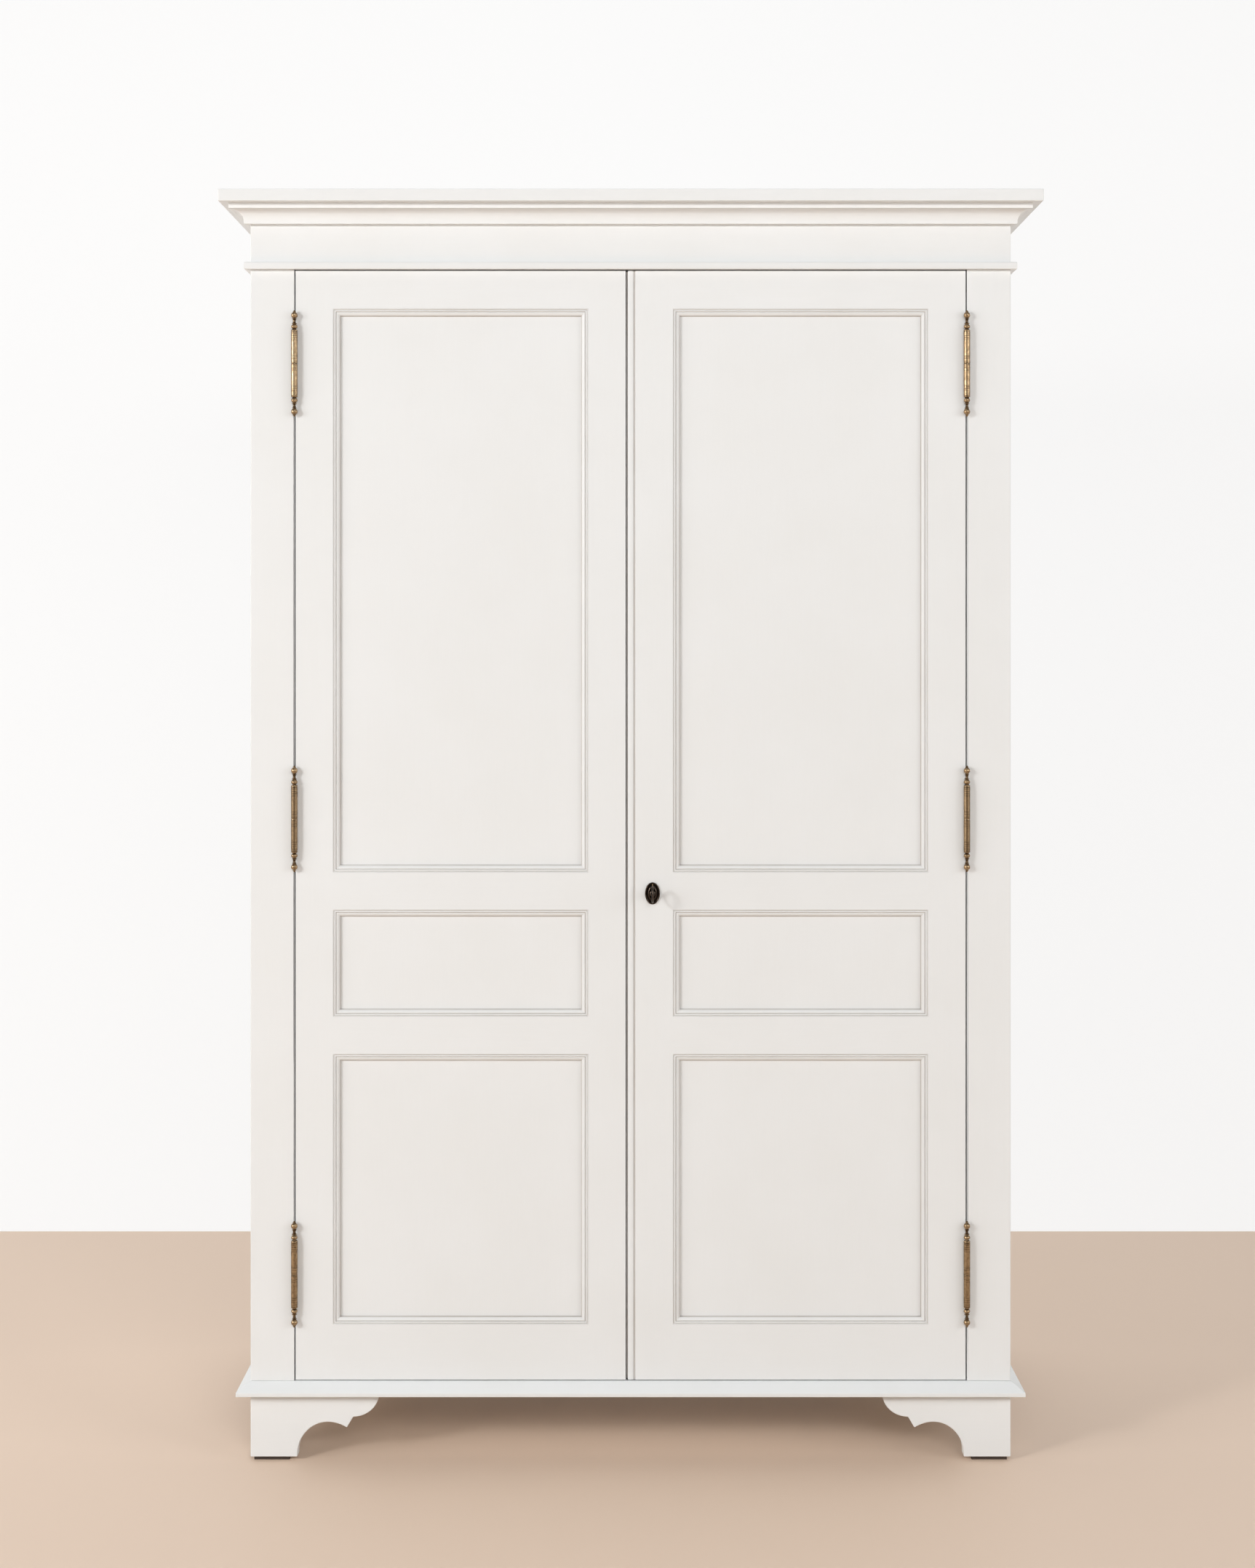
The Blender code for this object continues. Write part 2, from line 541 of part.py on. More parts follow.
def make_key(parent):
    """A flat ring bow, a round shank with a collar, and a bit that hangs below it."""
    bow_deep, bow_high, bow_thick = 11 * MM, 13.5 * MM, 3 * MM
    shank_front, shank_back = KEY_FRONT + 2 * bow_deep - 3 * MM, -235.5 * MM
    collar = (shank_front + 1.5 * MM, shank_front + 4.5 * MM, 4.2 * MM)
    profile = [(0, shank_front), (SHANK_RADIUS, shank_front), (SHANK_RADIUS, collar[0]),
               (collar[2], collar[0]), (collar[2], collar[1]), (SHANK_RADIUS, collar[1]),
               (SHANK_RADIUS, shank_back), (0, shank_back)]
    key = part("key", turned(profile, (KEY_X, 0, KEY_Z), (0, 1, 0)), parent, "dark_bronze", True)
    bow = ring_plate(KEY_FRONT + bow_deep, bow_deep, bow_high, 4.2 * MM, bow_thick)
    combine(key, bow, "UNION", "bow")
    bit_half = 1.2 * MM
    bit = boxes(((KEY_X - bit_half, -243 * MM, KEY_Z - BIT_RADIUS),
                 (KEY_X + bit_half, -236.5 * MM, KEY_Z - MM)))
    combine(key, bit, "UNION", "bit")


def ring_plate(middle_y, half_y, half_z, rim, thick, steps=20):
    """A flat oval ring standing in the YZ plane."""
    bm = bmesh.new()
    loops = []
    for inset in (0, rim):
        for x in (KEY_X - thick / 2, KEY_X + thick / 2):
            angles = [math.tau * i / steps for i in range(steps)]
            loops.append([bm.verts.new((x, middle_y + (half_y - inset) * math.cos(a),
                                        KEY_Z + (half_z - inset) * math.sin(a))) for a in angles])
    outer_left, outer_right, inner_left, inner_right = loops
    for one, other in ((outer_left, outer_right), (outer_right, inner_right), (inner_right, inner_left),
                       (inner_left, outer_left)):
        for i in range(steps):
            bm.faces.new((one[i - 1], one[i], other[i], other[i - 1]))
    return bm


# ---- Flush bolts ---------------------------------------------------------------------------
def make_flush_bolt(name, end, inward, meeting_stile, door_parent, bolt_parent):
    """A rod in the door's meeting edge behind a face plate. inward is -1 at the top, 1 at the bottom."""
    edge = -MEETING_HALF

    def stretch(x_range, y_half, near, far):
        z_low, z_high = sorted((end + inward * near, end + inward * far))
        return ((x_range[0], ROD_Y - y_half, z_low), (x_range[1], ROD_Y + y_half, z_high))

    past = -5 * MM                                    # cutters run past the door's end and edge
    pocket = boxes(stretch((-23.8 * MM, edge - past), 4 * MM, past, 100 * MM))
    combine(meeting_stile, pocket, "DIFFERENCE", name + "_pocket")
    plate_inner = edge - 1.7 * MM
    recess = boxes(stretch((plate_inner - GAP, edge - past), 7.7 * MM, past, 110 * MM))
    combine(meeting_stile, recess, "DIFFERENCE", name + "_recess")

    plate = boxes(stretch((plate_inner, edge), 7.4 * MM, 0, 109.5 * MM))
    plate = part(name + "_plate", plate, door_parent, "antique_brass")
    guide = boxes(stretch((-23.5 * MM, plate_inner + MM), 3.7 * MM, 0.5 * MM, 3.5 * MM))
    combine(plate, guide, "UNION", "guide")
    z_low, z_high = sorted((end - inward * 5 * MM, end + inward * 9 * MM))
    combine(plate, round_rod(ROD_X, ROD_Y, z_low, z_high, ROD_RADIUS + GAP), "DIFFERENCE", "guide_hole")
    thumb_near, thumb_far = 54 * MM, 64 * MM
    slot = boxes(stretch((plate_inner - MM, edge - past), 2 * MM, thumb_near - THROW - MM, thumb_far + MM))
    combine(plate, slot, "DIFFERENCE", "thumb_slot")

    rod_end = end + inward * 1.4 * MM
    z_low, z_high = sorted((rod_end, rod_end + inward * ROD_LENGTH))
    rod = part(name + "_rod", round_rod(ROD_X, ROD_Y, z_low, z_high, ROD_RADIUS), bolt_parent,
               "antique_brass", True)
    thumb = boxes(stretch((ROD_X, edge - GAP), 1.7 * MM, thumb_near, thumb_far))
    combine(rod, thumb, "UNION", "thumb")


# ---- Assembly ------------------------------------------------------------------------------
carcass = pivot("carcass", (0, 0, 0))
left_door = pivot("left_door", (-HINGE_X, HINGE_Y, HINGE_MIDDLE), carcass)
right_door = pivot("right_door", (HINGE_X, HINGE_Y, HINGE_MIDDLE), carcass)
top_bolt = pivot("top_bolt", (ROD_X, ROD_Y, DOOR_TOP), left_door)
bottom_bolt = pivot("bottom_bolt", (ROD_X, ROD_Y, DOOR_BOTTOM), left_door)
key_pivot = pivot("key_pivot", (KEY_X, FRONT, KEY_Z), right_door)
lock_bolt_pivot = pivot("lock_bolt_pivot", (CASE_LEFT, LOCK_BOLT_FRONT, LOCK_BOLT_BOTTOM), right_door)

make_carcass(carcass)
make_feet(carcass)
make_hinges(-1, "left", carcass, left_door)
make_hinges(1, "right", carcass, right_door)
left_stiles = make_door(-1, "left", left_door)
right_stiles = make_door(1, "right", right_door)
make_bead_strip(right_door)
make_lock(right_stiles["meeting_stile"], right_door, lock_bolt_pivot, key_pivot)
make_flush_bolt("top_bolt", DOOR_TOP, -1, left_stiles["meeting_stile"], left_door, top_bolt)
make_flush_bolt("bottom_bolt", DOOR_BOTTOM, 1, left_stiles["meeting_stile"], left_door, bottom_bolt)
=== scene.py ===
import json
import math

import bmesh
import bpy
from mathutils import Matrix, Vector


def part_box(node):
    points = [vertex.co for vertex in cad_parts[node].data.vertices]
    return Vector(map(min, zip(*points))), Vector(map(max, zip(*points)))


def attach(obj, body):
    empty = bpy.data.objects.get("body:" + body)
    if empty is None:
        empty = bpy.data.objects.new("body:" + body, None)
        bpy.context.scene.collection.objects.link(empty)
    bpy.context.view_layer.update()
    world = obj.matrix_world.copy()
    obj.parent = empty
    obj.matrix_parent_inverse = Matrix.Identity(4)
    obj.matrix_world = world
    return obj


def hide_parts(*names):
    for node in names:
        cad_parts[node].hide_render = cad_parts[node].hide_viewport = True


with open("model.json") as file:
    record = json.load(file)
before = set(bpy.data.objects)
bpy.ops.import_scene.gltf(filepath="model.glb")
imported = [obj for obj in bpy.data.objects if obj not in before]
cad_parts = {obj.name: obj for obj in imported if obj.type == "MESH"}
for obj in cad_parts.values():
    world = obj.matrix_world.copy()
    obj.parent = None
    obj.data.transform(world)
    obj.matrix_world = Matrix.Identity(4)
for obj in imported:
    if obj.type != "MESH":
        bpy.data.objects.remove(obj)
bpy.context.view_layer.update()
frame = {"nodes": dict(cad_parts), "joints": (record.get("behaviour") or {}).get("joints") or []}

MM = 0.001

# ---- Places read from the frame --------------------------------------------------------------
SIDES = (("left", -1), ("right", 1))
HINGE_PLACES = ("bottom", "middle", "top")
JOINTS = {joint["name"]: joint for joint in frame["joints"]}

face_low, face_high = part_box("left_face_stile")
FRONT, FACE_BACK = face_low.y, face_high.y
HALF = -face_low.x
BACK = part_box("left_side_panel")[1].y
BASE_LOW, BASE_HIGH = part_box("base_board")
NECK_LOW, NECK_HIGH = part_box("neck_moulding")
CORNICE_LOW, CORNICE_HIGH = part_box("cornice_moulding")
GLIDE_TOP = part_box("foot_front_left")[0].z
FIT = 0.3 * MM                      # the gap between touching solids


# ---- Node helpers ----------------------------------------------------------------------------
class Shading:
    """A new material with short calls for the nodes that this script uses."""

    def __init__(self, name, metallic=0.0, specular=0.5):
        self.material = bpy.data.materials.new(name)
        self.material.use_nodes = True
        self.tree = self.material.node_tree
        self.shader = self.tree.nodes["Principled BSDF"]
        self.shader.inputs["Metallic"].default_value = metallic
        self.shader.inputs["Specular IOR Level"].default_value = specular
        coordinates = self.tree.nodes.new("ShaderNodeTexCoord")
        self.place = coordinates.outputs["Object"]

    def link(self, output, target):
        self.tree.links.new(output, target)

    def stretched(self, scale):
        mapping = self.tree.nodes.new("ShaderNodeMapping")
        mapping.inputs["Scale"].default_value = scale
        self.link(self.place, mapping.inputs["Vector"])
        return mapping.outputs["Vector"]

    def noise(self, scale, detail=3.0, stretch=(1, 1, 1), roughness=0.5):
        node = self.tree.nodes.new("ShaderNodeTexNoise")
        node.inputs["Scale"].default_value = scale
        node.inputs["Detail"].default_value = detail
        node.inputs["Roughness"].default_value = roughness
        self.link(self.stretched(stretch), node.inputs["Vector"])
        return node.outputs["Fac"]

    def attribute(self, name):
        node = self.tree.nodes.new("ShaderNodeAttribute")
        node.attribute_name = name
        return node.outputs["Fac"]

    def spread(self, value, low, high, to_low, to_high):
        node = self.tree.nodes.new("ShaderNodeMapRange")
        ends = {"From Min": low, "From Max": high, "To Min": to_low, "To Max": to_high}
        for socket, number in ends.items():
            node.inputs[socket].default_value = number
        self.link(value, node.inputs["Value"])
        return node.outputs["Result"]

    def math(self, operation, first, second):
        node = self.tree.nodes.new("ShaderNodeMath")
        node.operation = operation
        for socket, value in zip(node.inputs, (first, second)):
            if isinstance(value, (int, float)):
                socket.default_value = value
            else:
                self.link(value, socket)
        return node.outputs["Value"]

    def mixed(self, share, first, second):
        node = self.tree.nodes.new("ShaderNodeMix")
        node.data_type = "RGBA"
        self.link(share, node.inputs["Factor"])
        colour_inputs = node.inputs[6:8]            # A and B of the RGBA form
        for socket, value in zip(colour_inputs, (first, second)):
            if isinstance(value, tuple):
                socket.default_value = (*value, 1)
            else:
                self.link(value, socket)
        return node.outputs[2]

    def colour(self, value):
        self.link(value, self.shader.inputs["Base Color"])

    def roughness(self, value):
        self.link(value, self.shader.inputs["Roughness"])

    def bumps(self, *layers):
        """Stack (height, strength, distance) layers into the shader's normal."""
        normal = None
        for height, strength, distance in layers:
            node = self.tree.nodes.new("ShaderNodeBump")
            node.inputs["Strength"].default_value = strength
            node.inputs["Distance"].default_value = distance
            self.link(height, node.inputs["Height"])
            if normal is not None:
                self.link(normal, node.inputs["Normal"])
            normal = node.outputs["Normal"]
        self.link(normal, self.shader.inputs["Normal"])


# ---- Materials -------------------------------------------------------------------------------
def paint(name, grain, light=(0.793, 0.812, 0.817), shade=(0.779, 0.795, 0.794), gloss=0.42):
    """Satin paint brushed along the grain axis over wood, with painted shade mixed in where a vertex
    attribute says.
    """
    along = tuple(0.04 if axis == grain else 1.0 for axis in "XYZ")
    shading = Shading(name, specular=0.4)
    mottle = shading.noise(7.0, 4.0)
    streak = shading.noise(420.0, 3.0, along)
    pores = shading.noise(150.0, 4.0, tuple(0.02 if axis == grain else 1.0 for axis in "XYZ"), 0.62)
    ripple = shading.noise(16.0, 2.0)
    soft, fine = shading.math("MULTIPLY", mottle, 0.75), shading.math("MULTIPLY", streak, 0.25)
    tone = shading.math("ADD", soft, fine)
    clean = shading.mixed(shading.spread(tone, 0.35, 0.65, 0.0, 1.0), light, shade)
    patchy = shading.spread(mottle, 0.3, 0.7, 0.75, 1.0)
    # Painted shade: a vertex attribute, broken up by the mottle, darkens crevices, quirks and the gap
    # between the doors towards a greyish brown.
    painted_shade = shading.math("MULTIPLY", shading.attribute("painted_shade"), patchy)
    shade_colour = (0.40, 0.345, 0.30)
    shading.colour(shading.mixed(painted_shade, clean, shade_colour))
    shading.roughness(shading.spread(streak, 0.3, 0.7, gloss - 0.03, gloss + 0.07))
    shading.bumps((streak, 0.10, 0.03 * MM), (pores, 0.08, 0.05 * MM), (ripple, 0.06, 0.5 * MM))
    return shading.material


def antique_brass():
    """Lacquered brass, browned by patina where the attribute says and left bright on the rounds."""
    shading = Shading("antique_brass", metallic=1.0)
    patina = shading.attribute("patina")
    cloud = shading.noise(260.0, 5.0, (1, 1, 0.6), 0.6)
    lathe = shading.noise(900.0, 2.0, (0.02, 0.02, 1.0))
    stain = shading.math("MULTIPLY", patina, shading.spread(cloud, 0.2, 0.8, 0.65, 1.2))
    bright, brown = (0.45, 0.32, 0.185), (0.235, 0.16, 0.092)
    worn = shading.mixed(shading.spread(cloud, 0.35, 0.7, 0.0, 1.0), bright, brown)
    shading.colour(shading.mixed(stain, worn, (0.045, 0.028, 0.016)))
    shading.roughness(shading.spread(cloud, 0.3, 0.7, 0.27, 0.44))
    shading.bumps((lathe, 0.25, 0.04 * MM), (cloud, 0.18, 0.05 * MM))
    return shading.material


def dark_bronze():
    """Near black bronze, lighter warm brown on its raised edges: partly rubbed wear, partly a painted
    highlight.
    """
    shading = Shading("dark_bronze", metallic=1.0)
    worn_and_highlit = shading.attribute("patina")
    cloud = shading.noise(420.0, 5.0, roughness=0.6)
    # The lighter edge colour is partly rubbed wear and partly a painted highlight.
    edge = shading.math("MULTIPLY", worn_and_highlit, shading.spread(cloud, 0.3, 0.7, 0.4, 1.1))
    body = shading.mixed(cloud, (0.016, 0.0125, 0.0105), (0.010, 0.008, 0.007))
    shading.colour(shading.mixed(edge, body, (0.10, 0.074, 0.056)))
    shading.roughness(shading.spread(cloud, 0.3, 0.7, 0.26, 0.40))
    shading.bumps((cloud, 0.3, 0.06 * MM))
    return shading.material


def brushed_steel():
    shading = Shading("brushed_steel", metallic=1.0)
    brush = shading.noise(1100.0, 2.0, (0.015, 1.0, 1.0))
    cloud = shading.noise(30.0, 3.0)
    shading.colour(shading.mixed(cloud, (0.56, 0.55, 0.53), (0.47, 0.46, 0.44)))
    shading.roughness(shading.spread(brush, 0.3, 0.7, 0.26, 0.40))
    shading.bumps((brush, 0.2, 0.02 * MM))
    return shading.material


def glide_rubber():
    shading = Shading("glide_rubber", specular=0.3)
    fleck = shading.noise(1400.0, 4.0, roughness=0.7)
    shading.colour(shading.mixed(fleck, (0.035, 0.027, 0.022), (0.085, 0.062, 0.048)))
    shading.roughness(shading.spread(fleck, 0.3, 0.7, 0.70, 0.92))
    shading.bumps((fleck, 0.5, 0.15 * MM))
    return shading.material


PAINT = {axis: paint("white_paint_" + axis.lower(), axis) for axis in "XYZ"}
INSIDE_LIGHT, INSIDE_SHADE, INSIDE_GLOSS = (0.775, 0.768, 0.742), (0.76, 0.752, 0.724), 0.5
INSIDE = {axis: paint("inside_paint_" + axis.lower(), axis, INSIDE_LIGHT, INSIDE_SHADE, INSIDE_GLOSS)
          for axis in "XYZ"}
BRASS = antique_brass()
BRONZE = dark_bronze()
STEEL = brushed_steel()
RUBBER = glide_rubber()


# ---- Meshes ----------------------------------------------------------------------------------
def piece(name, bm, body, material, replaces=(), angle=35):
    """A mesh object in the cabinet's frame that rides on a body."""
    bmesh.ops.recalc_face_normals(bm, faces=bm.faces)
    mesh = bpy.data.meshes.new(name)
    bm.to_mesh(mesh)
    bm.free()
    mesh.shade_smooth()
    mesh.set_sharp_from_angle(angle=math.radians(angle))
    mesh.materials.append(material)
    item = bpy.data.objects.new(name, mesh)
    bpy.context.scene.collection.objects.link(item)
    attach(item, body)
    if replaces:
        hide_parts(*replaces)
    return item


def ease(item, width, segments=3, angle=40):
    """Rounded edges and smooth corners, as modifiers."""
    bevel = item.modifiers.new("eased_edges", "BEVEL")
    bevel.width = width
    bevel.segments = segments
    bevel.limit_method = "ANGLE"
    bevel.angle_limit = math.radians(angle)
    bevel.miter_outer = "MITER_ARC"
    normals = item.modifiers.new("flat_faces", "WEIGHTED_NORMAL")
    normals.keep_sharp = False
    normals.weight = 100


def box_mesh(low, high):
    bm = bmesh.new()
    low, high = Vector(low), Vector(high)
    placed = Matrix.Translation((low + high) / 2) @ Matrix.Diagonal((high - low).to_4d())
    bmesh.ops.create_cube(bm, size=1, matrix=placed)
    return bm


def bridge(bm, one, other):
    """Faces between two closed rings of the same length."""
    for i in range(len(one)):
        bm.faces.new((one[i - 1], one[i], other[i], other[i - 1]))


def close_rows(bm, rows):
    """Closed rings joined in order, with a cap on each end."""
    for one, other in zip(rows, rows[1:]):
        bridge(bm, one, other)
    bm.faces.new(rows[0])
    bm.faces.new(rows[-1])


def loft(*loops):
    """A solid through closed loops of points, all of the same length."""
    bm = bmesh.new()
    close_rows(bm, [[bm.verts.new(point) for point in loop] for loop in loops])
    return bm


def turned(profile, centre, axis=(0, 0, 1), steps=36):
    """A turned solid from (radius, distance, patina) points, one end of the axis to the other."""
    bm = bmesh.new()
    layer = bm.verts.layers.float.new("patina")
    turn = Vector((0, 0, 1)).rotation_difference(Vector(axis)).to_matrix()
    centre = Vector(centre)

    def place(radius, along, angle):
        return centre + turn @ Vector((radius * math.cos(angle), radius * math.sin(angle), along))

    rings = []
    for radius, along, patina in profile:
        count = steps if radius > 0 else 1
        ring = [bm.verts.new(place(radius, along, math.tau * i / steps)) for i in range(count)]
        for vert in ring:
            vert[layer] = patina
        rings.append(ring)
    for one, other in zip(rings, rings[1:]):
        if len(one) == len(other):
            bridge(bm, one, other)
            continue
        for i in range(steps):
            if len(one) == 1:
                bm.faces.new((one[0], other[i], other[i - 1]))
            else:
                bm.faces.new((one[i - 1], one[i], other[0]))
    return bm


def arc(centre, across, up, start, end, steps):
    """Points on a stretch of an ellipse, angles in degrees from the across axis."""
    points = []
    for i in range(steps + 1):
        angle = math.radians(start + (end - start) * i / steps)
        points.append((centre[0] + across * math.cos(angle), centre[1] + up * math.sin(angle)))
    return points


def baked(item):
    """Replace an object's mesh by what its modifiers make of it."""
    bpy.context.view_layer.update()
    depsgraph = bpy.context.evaluated_depsgraph_get()
    mesh = bpy.data.meshes.new_from_object(item.evaluated_get(depsgraph))
    item.modifiers.clear()
    item.data = mesh


def merge(item, operation, *shapes):
    """Cut shapes out of a piece, or add them to it, for good."""
    for bm in shapes:
        bmesh.ops.recalc_face_normals(bm, faces=bm.faces)
        mesh = bpy.data.meshes.new("shape")
        bm.to_mesh(mesh)
        bm.free()
        other = bpy.data.objects.new("shape", mesh)
        bpy.context.scene.collection.objects.link(other)
        change = item.modifiers.new("change", "BOOLEAN")
        change.operation, change.solver, change.object = operation, "EXACT", other
        baked(item)
        bpy.data.objects.remove(other, do_unlink=True)


def carve(item, *cutters):
    merge(item, "DIFFERENCE", *cutters)


def cad_solid(node, stretch=0.0, slot=0):
    """A copy of a CAD part in the cabinet's frame, made longer along X by stretch at each end."""
    item = frame["nodes"][node]
    bm = bmesh.new()
    bm.from_mesh(item.data)
    bmesh.ops.transform(bm, matrix=item.matrix_world, verts=bm.verts)
    bmesh.ops.remove_doubles(bm, verts=bm.verts, dist=0.01 * MM)
    low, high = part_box(node)
    middle, half = (low.x + high.x) / 2, (high.x - low.x) / 2
    for vert in bm.verts:
        vert.co.x = middle + (vert.co.x - middle) * (half + stretch) / half
    for face in bm.faces:
        face.material_index = slot
    return bm


# ---- Boards that keep their CAD shape ----------------------------------------------------------
def dress(node, material, width=0.8 * MM, segments=3):
    """A CAD board with its finish and softly rounded edges."""
    item = frame["nodes"][node]
    item.data.materials.clear()
    item.data.materials.append(material)
    weld = item.modifiers.new("weld", "WELD")
    weld.merge_threshold = 0.01 * MM
    ease(item, width, segments)


def dress_boards():
    for side, _ in SIDES:
        dress(side + "_face_stile", PAINT["Z"], 1.2 * MM)
        dress(side + "_side_panel", PAINT["Z"])
        for role in ("upper_panel", "middle_panel", "lower_panel"):
            dress(f"{side}_door_{role}", PAINT["Z"], 0.5 * MM)
        for depth in ("front", "back"):
            dress(f"glide_{depth}_{side}", RUBBER, 0.8 * MM)
    dress("frieze_rail", PAINT["X"], 1.0 * MM)
    dress("cornice_board", PAINT["X"], 1.6 * MM, 4)
    dress("back_panel", INSIDE["Z"])
    dress("hat_shelf", INSIDE["X"], 1.2 * MM)
    dress("centre_post", PAINT["Z"])
    dress("lock_case", STEEL, 0.3 * MM)
    dress("lock_bolt", BRASS, 0.5 * MM)
    for end in ("top", "bottom"):
        dress(end + "_bolt_plate", BRASS, 0.15 * MM)
        dress(end + "_bolt_rod", BRASS, 0.3 * MM)


# ---- Mouldings round the body ------------------------------------------------------------------
def body_corner(overhang, z, side):
    return side * (HALF + overhang), FRONT - overhang, z


def run_round(name, section, node):
    """Three mitred lengths of one (overhang, height) section: front, left and right."""
    left = [body_corner(overhang, z, -1) for overhang, z in section]
    right = [body_corner(overhang, z, 1) for overhang, z in section]
    piece(name + "_front", loft(left, right), "carcass", PAINT["X"], (node,))
    for side, corners in (("left", left), ("right", right)):
        ends = [(x, BACK, z) for x, _, z in corners]
        piece(f"{name}_{side}", loft(corners, ends), "carcass", PAINT["Y"], (node,))


def make_body_mouldings():
    out = FRONT - NECK_LOW.y
    low, high = NECK_LOW.z - FIT, NECK_HIGH.z
    nose = arc((out - 2.2 * MM, high - 2.6 * MM), 2.2 * MM, 2.6 * MM, 0, 90, 8)
    heel = arc((out - 0.8 * MM, low + 0.8 * MM), 0.8 * MM, 0.8 * MM, -90, 0, 4)
    run_round("neck_moulding", [(0, low)] + heel + nose + [(0, high)], "neck_moulding")

    low, top = CORNICE_LOW.z, CORNICE_HIGH.z + FIT
    fillet, strip, cove_out = 9 * MM, FRONT - CORNICE_LOW.y, 25 * MM
    cove_low, cove_high = low + 2.5 * MM, low + 21 * MM
    cove = arc((cove_out, cove_low), cove_out - fillet, cove_high - cove_low, 180, 90, 20)
    heel = arc((fillet - 0.6 * MM, low + 0.6 * MM), 0.6 * MM, 0.6 * MM, -90, 0, 4)
    lip = arc((strip - 0.7 * MM, cove_high + 0.7 * MM), 0.7 * MM, 0.7 * MM, -90, 0, 4)
    section = [(0, low)] + heel + cove + lip + [(strip, top), (0, top)]
    run_round("cornice_moulding", section, "cornice_moulding")


def make_base_board():
    """The base board with its upright lip and the slope that rises from it to the body."""
    low, high = BASE_LOW.z, BASE_HIGH.z
    out, lip, round_off = FRONT - BASE_LOW.y, low + 6.5 * MM, 0.9 * MM
    heel = arc((out - round_off, low + round_off), round_off, round_off, -90, 0, 5)
    brow = arc((out - round_off, lip - round_off), round_off, round_off, 0, 58, 5)
    section = heel + brow + [(1.2 * MM, high - 0.3 * MM), (0.6 * MM, high)]
    loops = []
    for overhang, z in section:
        left, right = body_corner(overhang, z, -1), body_corner(overhang, z, 1)
        loops.append([(left[0], BACK, z), left, right, (right[0], BACK, z)])
    board = piece("base_board_moulded", loft(*loops), "carcass", PAINT["X"], ("base_board",))
    rod_low, rod_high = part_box("bottom_bolt_rod")
    radius = (rod_high.y - rod_low.y) / 2
    rod_x, rod_y, half, deep = rod_low.x + radius, rod_low.y + radius, 4.9 * MM, 13 * MM
    socket_low = (rod_x - half, rod_y - half, high - deep)
    socket_high = (rod_x + half, rod_y + half, high + MM)
    carve(board, box_mesh(socket_low, socket_high))


# ---- Panel mouldings ---------------------------------------------------------------------------
def panel_section():
    """The section from the frame's edge down to the panel: slope, bead, quirk, long slope and drop.

    Each point is (inset, depth, painted shade), with the first two in millimetres until the last line.
    """
    # The third value is painted shade: darkest in the quirks and in the crevice at the drop, light on the
    # long slope.
    points = [(0.15, 0.2, 0.4), (0.5, 0.35, 0.1), (1.8, 1.1, 0.7)]
    points += [(inset, depth, 0.05) for inset, depth in arc((3.0, 1.5), 1.1, 0.8, 190, 350, 8)]
    points += [(4.3, 2.3, 0.5), (4.9, 2.6, 0.8), (5.2, 2.0, 0.3), (5.6, 1.85, 0.05), (7.2, 2.6, 0.08),
               (8.8, 3.5, 0.12), (10.1, 4.5, 0.25), (10.6, 5.1, 0.5), (10.8, 5.7, 0.8), (10.85, 7.5, 0.9),
               (11.6, 7.65, 0.3), (11.9, 7.9, 0.2), (0.15, 7.9, 0.0)]
    return [(inset * MM, depth * MM, painted_shade) for inset, depth, painted_shade in points]


def shade_vertices(item, painted_shade):
    """Painted shade per vertex, repeated along the loops that the mesh was lofted from."""
    layer = item.data.attributes.new("painted_shade", "FLOAT", "POINT")
    for i, value in enumerate(layer.data):
        value.value = painted_shade[i % len(painted_shade)]


def frame_openings(side):
    """The three openings of a door: name, left, right, bottom and top edges."""
    stiles = [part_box(f"{side}_door_{role}") for role in ("hinge_stile", "meeting_stile")]
    stiles.sort(key=lambda corners: corners[0].x)
    left, right = stiles[0][1].x, stiles[1][0].x
    rails = [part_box(f"{side}_door_{role}_rail") for role in ("bottom", "lower", "lock", "top")]
    edges = [(below[1].z, above[0].z) for below, above in zip(rails, rails[1:])]
    return [(name, left, right, *pair) for name, pair in zip(("lower", "middle", "upper"), edges)]


def make_panel_mouldings():
    """Four mitred lengths round each door panel."""
    section = panel_section()
    for side, _ in SIDES:
        for name, left, right, bottom, top in frame_openings(side):
            lengths = {"bottom": ((left, bottom), (right, bottom)), "top": ((left, top), (right, top)),
                       "left": ((left, bottom), (left, top)), "right": ((right, bottom), (right, top))}
            for place, ends in lengths.items():
                loops = []
                for x, z in ends:
                    step_x, step_z = 1 if x == left else -1, 1 if z == bottom else -1
                    loops.append([(x + step_x * inset, FRONT + depth, z + step_z * inset)
                                  for inset, depth, _ in section])
                grain = PAINT["X"] if place in ("bottom", "top") else PAINT["Z"]
                length = piece(f"{side}_door_{name}_moulding_{place}", loft(*loops), side + "_door", grain,
                               angle=50)
                shade_vertices(length, [painted_shade for _, _, painted_shade in section])


def make_door_frame(side):
    """Stiles and rails as one piece, because the paint fills the joints between them."""
    stiles = [f"{side}_door_{role}" for role in ("hinge_stile", "meeting_stile")]
    rails = [f"{side}_door_{role}" for role in ("top_rail", "lock_rail", "lower_rail", "bottom_rail")]
    door = piece(side + "_door_frame", cad_solid(stiles[0]), side + "_door", PAINT["Z"],
                 (*stiles, *rails))
    door.data.materials.append(PAINT["X"])
    merge(door, "UNION", cad_solid(stiles[1]), *[cad_solid(rail, FIT + 0.1 * MM, 1) for rail in rails])
    bm = bmesh.new()
    bm.from_mesh(door.data)
    bmesh.ops.dissolve_limit(bm, angle_limit=math.radians(0.5), verts=bm.verts, edges=bm.edges,
                             delimit={"MATERIAL"})
    bm.to_mesh(door.data)
    bm.free()
    ease(door, 1.0 * MM)


